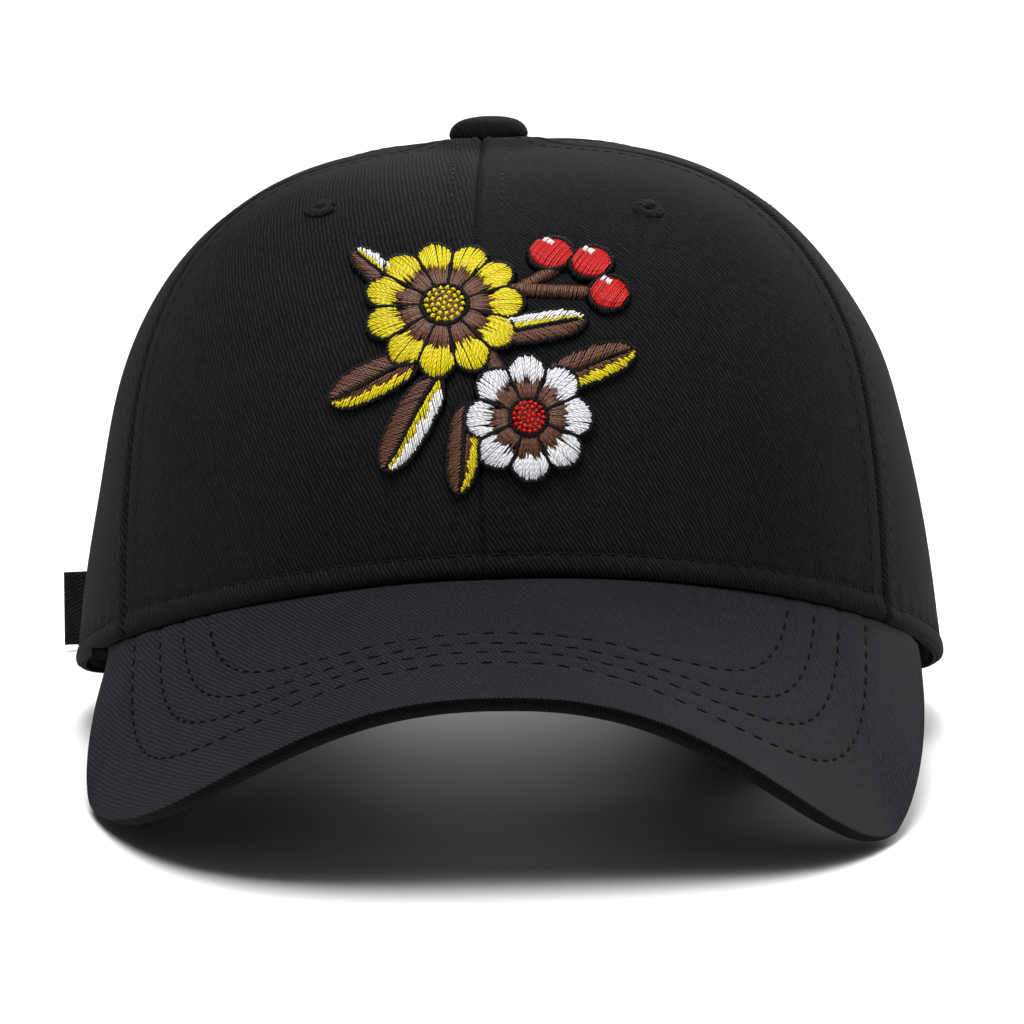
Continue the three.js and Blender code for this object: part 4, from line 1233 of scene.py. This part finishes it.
EMBROIDERY = {"yellow": [], "brown": [], "white": [], "red": [], "black": []}
stitch_dice = np.random.default_rng(41)
COVERS = []


def sew(color, motif, start, end, lift, puff=0.22, drop=(0.25, 0.25), wide=1.0):
    """Adds stitches from start to end, (n, 2) each, in a motif's own axes: every one arches by the puff over
    its lift and goes down by a drop at each end. Stitches that a motif on top hides are left out."""
    t = np.array([0.0, 0.1, 0.32, 0.68, 0.9, 1.0])
    turn = math.radians(motif.get("direction", 0.0))
    spread = np.array([[math.cos(turn), math.sin(turn)], [-math.sin(turn), math.cos(turn)]])
    start = start @ spread + stitch_dice.normal(0, 0.07, start.shape)
    end = end @ spread + stitch_dice.normal(0, 0.07, start.shape)
    at = start[:, None] + (end - start)[:, None] * t[None, :, None] + np.array([motif["x"], motif["y"]])
    seen = np.ones(len(at), bool)
    for cover, outline in COVERS:
        if cover is motif:
            continue
        away = at - np.array([cover["x"], cover["y"]])
        edge = outline(np.arctan2(away[..., 1], away[..., 0])) - 0.9
        seen &= ~(np.hypot(away[..., 0], away[..., 1]) < edge)[:, 1:-1].all(1)
    at = at[seen]
    if not len(at):
        return
    level = np.broadcast_to(np.asarray(lift, float), seen.shape)[seen][:, None]
    above = level + puff * np.sin(np.pi * t)[None]
    near_start = np.clip(1 - t / 0.2, 0, 1)[None] ** 2
    near_end = np.clip(1 - (1 - t) / 0.2, 0, 1)[None] ** 2
    above = above - drop[0] * near_start - drop[1] * near_end
    above = above + stitch_dice.normal(0, 0.04, (len(at), 1))
    points, normals = on_front(at[..., 0], at[..., 1], above)
    thick = STITCH_WIDTH * 0.54 * wide * (1 - 0.3 * np.abs(2 * t - 1) ** 4)
    thick = thick * stitch_dice.uniform(0.86, 1.12, (len(at), 1))
    EMBROIDERY[color].append((points, normals, thick))


def polar(radius, turn):
    """Points at radii and turns."""
    return np.stack([radius * np.cos(turn), radius * np.sin(turn)], -1)


def sew_line(color, motif, path, lift, half=0.5):
    """A narrow satin line: stitches across a path of points."""
    length = run_along(path)
    places = np.arange(OUTLINE_PITCH / 2, length[-1], OUTLINE_PITCH)
    middle = places_on(path, length, places)
    ahead = unit(places_on(np.gradient(path, axis=0), length, places))
    across = np.stack([-ahead[:, 1], ahead[:, 0]], -1) + ahead * 0.25
    width = half * stitch_dice.uniform(0.88, 1.12, (len(places), 1))
    sew(color, motif, middle - across * width, middle + across * width, lift, 0.3, (0.35, 0.35))


def sew_outline(motif, outline, ground):
    """The black edge: stitches across the outline, from the ground's top over its wall to the cloth."""
    turn = np.linspace(0, 2 * np.pi, 1400)
    path = polar(outline(turn), turn)
    length = run_along(path)
    places = np.arange(0, length[-1], OUTLINE_PITCH)
    at = places_on(path, length, places)
    ahead = unit(places_on(np.gradient(path, axis=0), length, places))
    out = np.stack([ahead[:, 1], -ahead[:, 0]], -1) + ahead * 0.2
    inner = at - out * (OUTLINE_IN * stitch_dice.uniform(0.82, 1.18, (len(at), 1)))
    outer = at + out * (OUTLINE_OUT * stitch_dice.uniform(0.7, 1.3, (len(at), 1)))
    sew("black", motif, inner, outer, ground + 0.1, 0.16, (0.15, ground + 0.25))


def sew_flower(motif):
    """A flower: petals in two lengths of thread that meet in a ragged line, black lines between the petals,
    a black edge, and a heart of crossed stitches with seeds."""
    outline, petals, heart = flower_outline(motif), motif["petals"], motif["heart"]
    ground = GROUND + motif["lift"]
    step = 2 * np.pi / petals
    tips = int(step * motif["radius"] * 0.86 / STITCH_WIDTH)
    throats = int(step * motif["radius"] * 0.5 / STITCH_WIDTH)
    for k in range(petals):
        across = (np.arange(tips) + 0.5) / tips * 2 - 1
        turn = k * step + across * step / 2 * 0.9
        inner = k * step + across * step / 2 * 0.97
        far = outline(turn) - 0.4 + stitch_dice.uniform(-0.25, 0.3, tips)
        near = motif["radius"] * (0.56 + 0.05 * across**2) + stitch_dice.uniform(-1.1, 1.1, tips)
        sew(motif["tip"], motif, polar(near, inner), polar(far, turn), ground + 0.14, 0.34, (0.25, 0.02))
        across = (np.arange(throats) + 0.5) / throats * 2 - 1
        turn = k * step + across * step / 2 * 0.86
        far = motif["radius"] * (0.62 - 0.06 * across**2) + stitch_dice.uniform(-1.3, 1.3, throats)
        near = np.full(throats, heart - 0.3)
        sew(motif["throat"], motif, polar(near, turn), polar(far, turn), ground + 0.2, 0.26)
    for k in range(petals):
        between = (k + 0.5) * step
        radius = np.linspace(heart + 0.4, outline(np.array([between]))[0] - 0.3, 20)
        sew_line("black", motif, polar(radius, np.full(20, between)), ground + 0.28, 0.42)
    sew_outline(motif, outline, ground)
    rows = np.arange(-heart + 0.5, heart - 0.4, STITCH_WIDTH)
    chord = np.sqrt(heart**2 - rows**2) - 0.3
    tilt = np.array([[math.cos(0.6), math.sin(0.6)], [-math.sin(0.6), math.cos(0.6)]])
    left, right = np.stack([-chord, rows], -1) @ tilt, np.stack([chord, rows], -1) @ tilt
    sew("brown", motif, left, right, ground + 0.3, 0.4)
    turn = np.linspace(0, 2 * np.pi, 80)
    sew_line("black", motif, polar(np.full(80, heart), turn), ground + 0.42, 0.5)
    for ring, count in ((0.0, 1), (0.27, 6), (0.55, 12), (0.8, 17)):
        turn = np.arange(count) * 2 * np.pi / count + ring * 5
        seed = polar(np.full(count, heart * ring), turn)
        lean = turn + stitch_dice.uniform(-0.6, 0.6, count) + 0.8
        half = polar(np.full(count, 0.42), lean)
        crossing = np.stack([-half[:, 1], half[:, 0]], -1)
        for spun, high in ((half, ground + 0.75), (crossing, ground + 0.75 + 0.12)):
            sew(motif["seeds"], motif, seed - spun, seed + spun, high, 0.2, (0.3, 0.3), 1.15)


def sew_leaf(motif):
    """A leaf: slanting stitches from the rib to the edge on both sides, in two colours that meet in a ragged
    line, with a black rib and edge."""
    outline = leaf_outline(motif)
    ground = GROUND + motif["lift"]
    for side, color in zip((1.0, -1.0), motif["sides"]):
        slant = math.radians(42.0)
        direction = np.array([math.cos(slant), side * math.sin(slant)])
        pitch = STITCH_WIDTH / math.sin(slant)
        along = np.arange(-motif["length"] / 2 + 0.4, motif["length"] / 2 - 0.9, pitch)
        start = np.stack([along, np.full(len(along), 0.12 * side)], -1)
        full = to_outline(outline, start, np.broadcast_to(direction, start.shape)) - 0.4
        full = full + stitch_dice.uniform(-0.3, 0.35, len(full))
        start, full = start[full > 0.8], full[full > 0.8]
        other = {"yellow": "brown", "white": "yellow", "brown": "yellow"}[color]
        if color == "brown":
            sew(color, motif, start, start + direction * full[:, None], ground + 0.12, 0.3, (0.25, 0.02))
            continue
        meet = full * stitch_dice.uniform(0.22, 0.55, len(full))
        sew(other, motif, start, start + direction * (meet + 0.35)[:, None], ground + 0.16, 0.2)
        sew(
            color, motif, start + direction * meet[:, None], start + direction * full[:, None],
            ground + 0.12, 0.3, (0.25, 0.02),
        )
    rib = np.linspace(-motif["length"] / 2 + 0.6, motif["length"] / 2 - 1.6, 30)
    sew_line("black", motif, np.stack([rib, 0.25 * np.sin(rib / 3.0)], -1), ground + 0.3, 0.4)
    sew_outline(motif, outline, ground)


def sew_stem(motif):
    """A stem: satin stitches across it."""
    outline = leaf_outline(motif)
    ground = GROUND + motif["lift"]
    along = np.arange(-motif["length"] / 2 + 0.4, motif["length"] / 2 - 0.4, STITCH_WIDTH)
    start = np.stack([along, np.zeros(len(along))], -1)
    edges = []
    for side in (1.0, -1.0):
        reach = to_outline(outline, start, np.broadcast_to((0.0, side), start.shape))
        edges.append(start + np.stack([np.full(len(along), 0.18 * side), side * (reach + 0.2)], -1))
    sew("brown", motif, *edges, ground + 0.1, 0.16, (ground + 0.2, ground + 0.2))


def sew_berry(motif):
    """A berry: slanting satin stitches, a few pale ones for its shine, and a black edge."""
    radius = motif["radius"]
    ground = GROUND + motif["lift"]
    motif = {**motif, "direction": 55.0}
    rows = np.arange(-radius + 0.7, radius - 0.6, STITCH_WIDTH * 0.95)
    chord = np.sqrt(radius**2 - rows**2) - 0.4
    sew("red", motif, np.stack([-chord, rows], -1), np.stack([chord, rows], -1), ground + 0.15, 0.5)
    rows = np.arange(5) * STITCH_WIDTH * 1.1 + radius * 0.2
    ends = np.stack([0.25 * radius + 0.1 * rows, rows], -1)
    sew("white", motif, ends, ends + np.array([radius * 0.3, 0.0]), ground + 0.62, 0.12)
    sew_outline(motif, lambda turn: np.full(np.shape(turn), radius), ground)


def make_embroidery():
    """Sews every motif, the lower ones first, and joins the threads of each colour into one piece."""
    for i, stem in enumerate(STEMS):
        stem["lift"] = 0.03 + 0.02 * i
    for i, leaf in enumerate(LEAVES):
        leaf["lift"] = 0.02 * i
    for i, berry in enumerate(BERRIES):
        berry["lift"] = 0.15 + 0.02 * i
    COVERS.extend((flower, flower_outline(flower)) for flower in FLOWERS)
    for stem in STEMS:
        sew_stem(stem)
    for leaf in LEAVES:
        sew_leaf(leaf)
    for berry in BERRIES:
        sew_berry(berry)
    for flower in FLOWERS:
        sew_flower(flower)
    for color, finish in EMBROIDERY_THREADS.items():
        bundles = EMBROIDERY[color]
        joined = tuple(np.concatenate([bundle[i] for bundle in bundles]) for i in range(3))
        thread_piece("embroidery_" + color, [joined], finish, sides=5)


def ground_cloth():
    """The padding under the stitches: dark thread laid close in one direction."""
    material, nodes, links, shader = new_material("embroidery_padding", 0.85, sheen=0.05, specular=0.15)
    place = nodes.new("ShaderNodeTexCoord")
    split = nodes.new("ShaderNodeSeparateXYZ")
    links.new(place.outputs["Object"], split.inputs["Vector"])
    wave = math_node(nodes, links, "SINE", math_node(nodes, links, "MULTIPLY", split.outputs["X"], 15000.0))
    fibre = noise_node(nodes, links, place.outputs["Object"], 2500.0, 2.0)
    height = math_node(nodes, links, "MULTIPLY_ADD", wave, 0.5, fibre)
    give_relief(nodes, links, shader, height, 1.0, 0.0001)
    give_color(nodes, links, shader, fibre, (0.006, 0.005, 0.005), (0.03, 0.022, 0.016))
    return material


EMBROIDERY_THREADS = {
    "yellow": thread_finish("yellow_thread", (0.36, 0.28, 0.001), (0.78, 0.66, 0.004), 0.45, 0.0, 0.3),
    "brown": thread_finish("brown_thread", (0.04, 0.013, 0.005), (0.16, 0.056, 0.026), 0.45, 0.0, 0.4),
    "white": thread_finish("white_thread", (0.42, 0.42, 0.44), (0.86, 0.86, 0.89), 0.45, 0.0, 0.3),
    "red": thread_finish("red_thread", (0.24, 0.001, 0.001), (0.66, 0.006, 0.006), 0.45, 0.0, 0.3),
    "black": thread_finish("outline_thread", (0.0012, 0.0012, 0.0015), (0.006, 0.006, 0.007), 0.5, 0.0, 0.15),
}
make_embroidery()


def give_material(node, material):
    """A CAD node that stays in view gets its looks."""
    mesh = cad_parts[node].data
    mesh.materials.clear()
    mesh.materials.append(material)


give_material("embroidery", ground_cloth())


# The buckle's metal


def dull_nickel():
    """Brushed, dulled metal: fine scratches along the part's length, blotches of wear in colour and gloss."""
    material, nodes, links, shader = new_material("dull_nickel", 0.34, metallic=1.0)
    place = nodes.new("ShaderNodeTexCoord")
    drawn = nodes.new("ShaderNodeMapping")
    drawn.inputs["Scale"].default_value = (0.12, 1.0, 1.0)
    links.new(place.outputs["Object"], drawn.inputs["Vector"])
    scratches = noise_node(nodes, links, drawn.outputs["Vector"], 5200.0, 3.0, 0.7)
    wear = noise_node(nodes, links, place.outputs["Object"], 260.0, 4.0, 0.6)
    give_relief(nodes, links, shader, scratches, 0.5, 0.00003)
    links.new(math_node(nodes, links, "MULTIPLY_ADD", wear, 0.3, 0.2), shader.inputs["Roughness"])
    half_wear = math_node(nodes, links, "MULTIPLY", wear, 0.5)
    tone = math_node(nodes, links, "MULTIPLY_ADD", scratches, 0.5, half_wear)
    give_color(nodes, links, shader, tone, (0.2, 0.185, 0.16), (0.42, 0.41, 0.39))
    return material


give_material("buckle", dull_nickel())


# The camera stands in front, a little above, and looks slightly down
camera_data = bpy.data.cameras.new("camera")
camera_data.sensor_width = 36.0
camera_data.lens = 181.8
camera_data.clip_start, camera_data.clip_end = 0.05, 20.0
camera = bpy.data.objects.new("camera", camera_data)
camera.location = ((np.array([0.09, -1087.9, 222.6]) + SHIFT) / 1000.0).tolist()
camera.rotation_euler = (math.radians(90.0 - 9.25), 0.0, 0.0)
bpy.context.scene.collection.objects.link(camera)
bpy.context.scene.camera = camera

# The floor, plain and white, and the studio light
floor_mesh = bpy.data.meshes.new("floor")
floor_mesh.from_pydata([(-4, -4, 0), (4, -4, 0), (4, 4, 0), (-4, 4, 0)], [], [(0, 1, 2, 3)])
floor = bpy.data.objects.new("floor", floor_mesh)
bpy.context.scene.collection.objects.link(floor)
floor_finish, _, _, floor_shader = new_material("white_floor", 0.6, specular=0.2)
floor_shader.inputs["Base Color"].default_value = (0.9, 0.9, 0.9, 1.0)
floor_mesh.materials.append(floor_finish)

world = bpy.data.worlds.new("studio")
bpy.context.scene.world = world
bpy.context.scene.view_settings.view_transform = "Standard"
world.use_nodes = True
world.node_tree.nodes["Background"].inputs["Color"].default_value = (1.0, 1.0, 1.0, 1.0)
world.node_tree.nodes["Background"].inputs["Strength"].default_value = 0.06


def soft_light(name, place, aim, size, power):
    """A rectangular area light at a place in metres, turned towards a point."""
    data = bpy.data.lights.new(name, "AREA")
    data.shape = "RECTANGLE"
    data.size, data.size_y = size
    data.energy = power
    light = bpy.data.objects.new(name, data)
    light.location = place
    away = np.array(place, float) - np.array(aim, float)
    yaw = math.atan2(away[0], -away[1])
    pitch = math.atan2(math.hypot(away[0], away[1]), away[2])
    light.rotation_euler = (pitch, 0.0, yaw)
    bpy.context.scene.collection.objects.link(light)


soft_light("overhead", (0.3, 0.4, 2.4), (0.3, 0.4, 0.0), (2.8, 5.0), 52.0)
soft_light("key", (-0.2, -0.6, 1.8), (0.0, 0.0, 0.0), (1.0, 1.0), 42.0)
soft_light("rear", (1.3, 3.1, 1.6), (0.0, 0.0, 0.0), (3.6, 2.0), 112.0)
soft_light("front", (0.5, -1.8, 1.1), (0.0, 0.0, 0.06), (1.0, 0.8), 1.2)
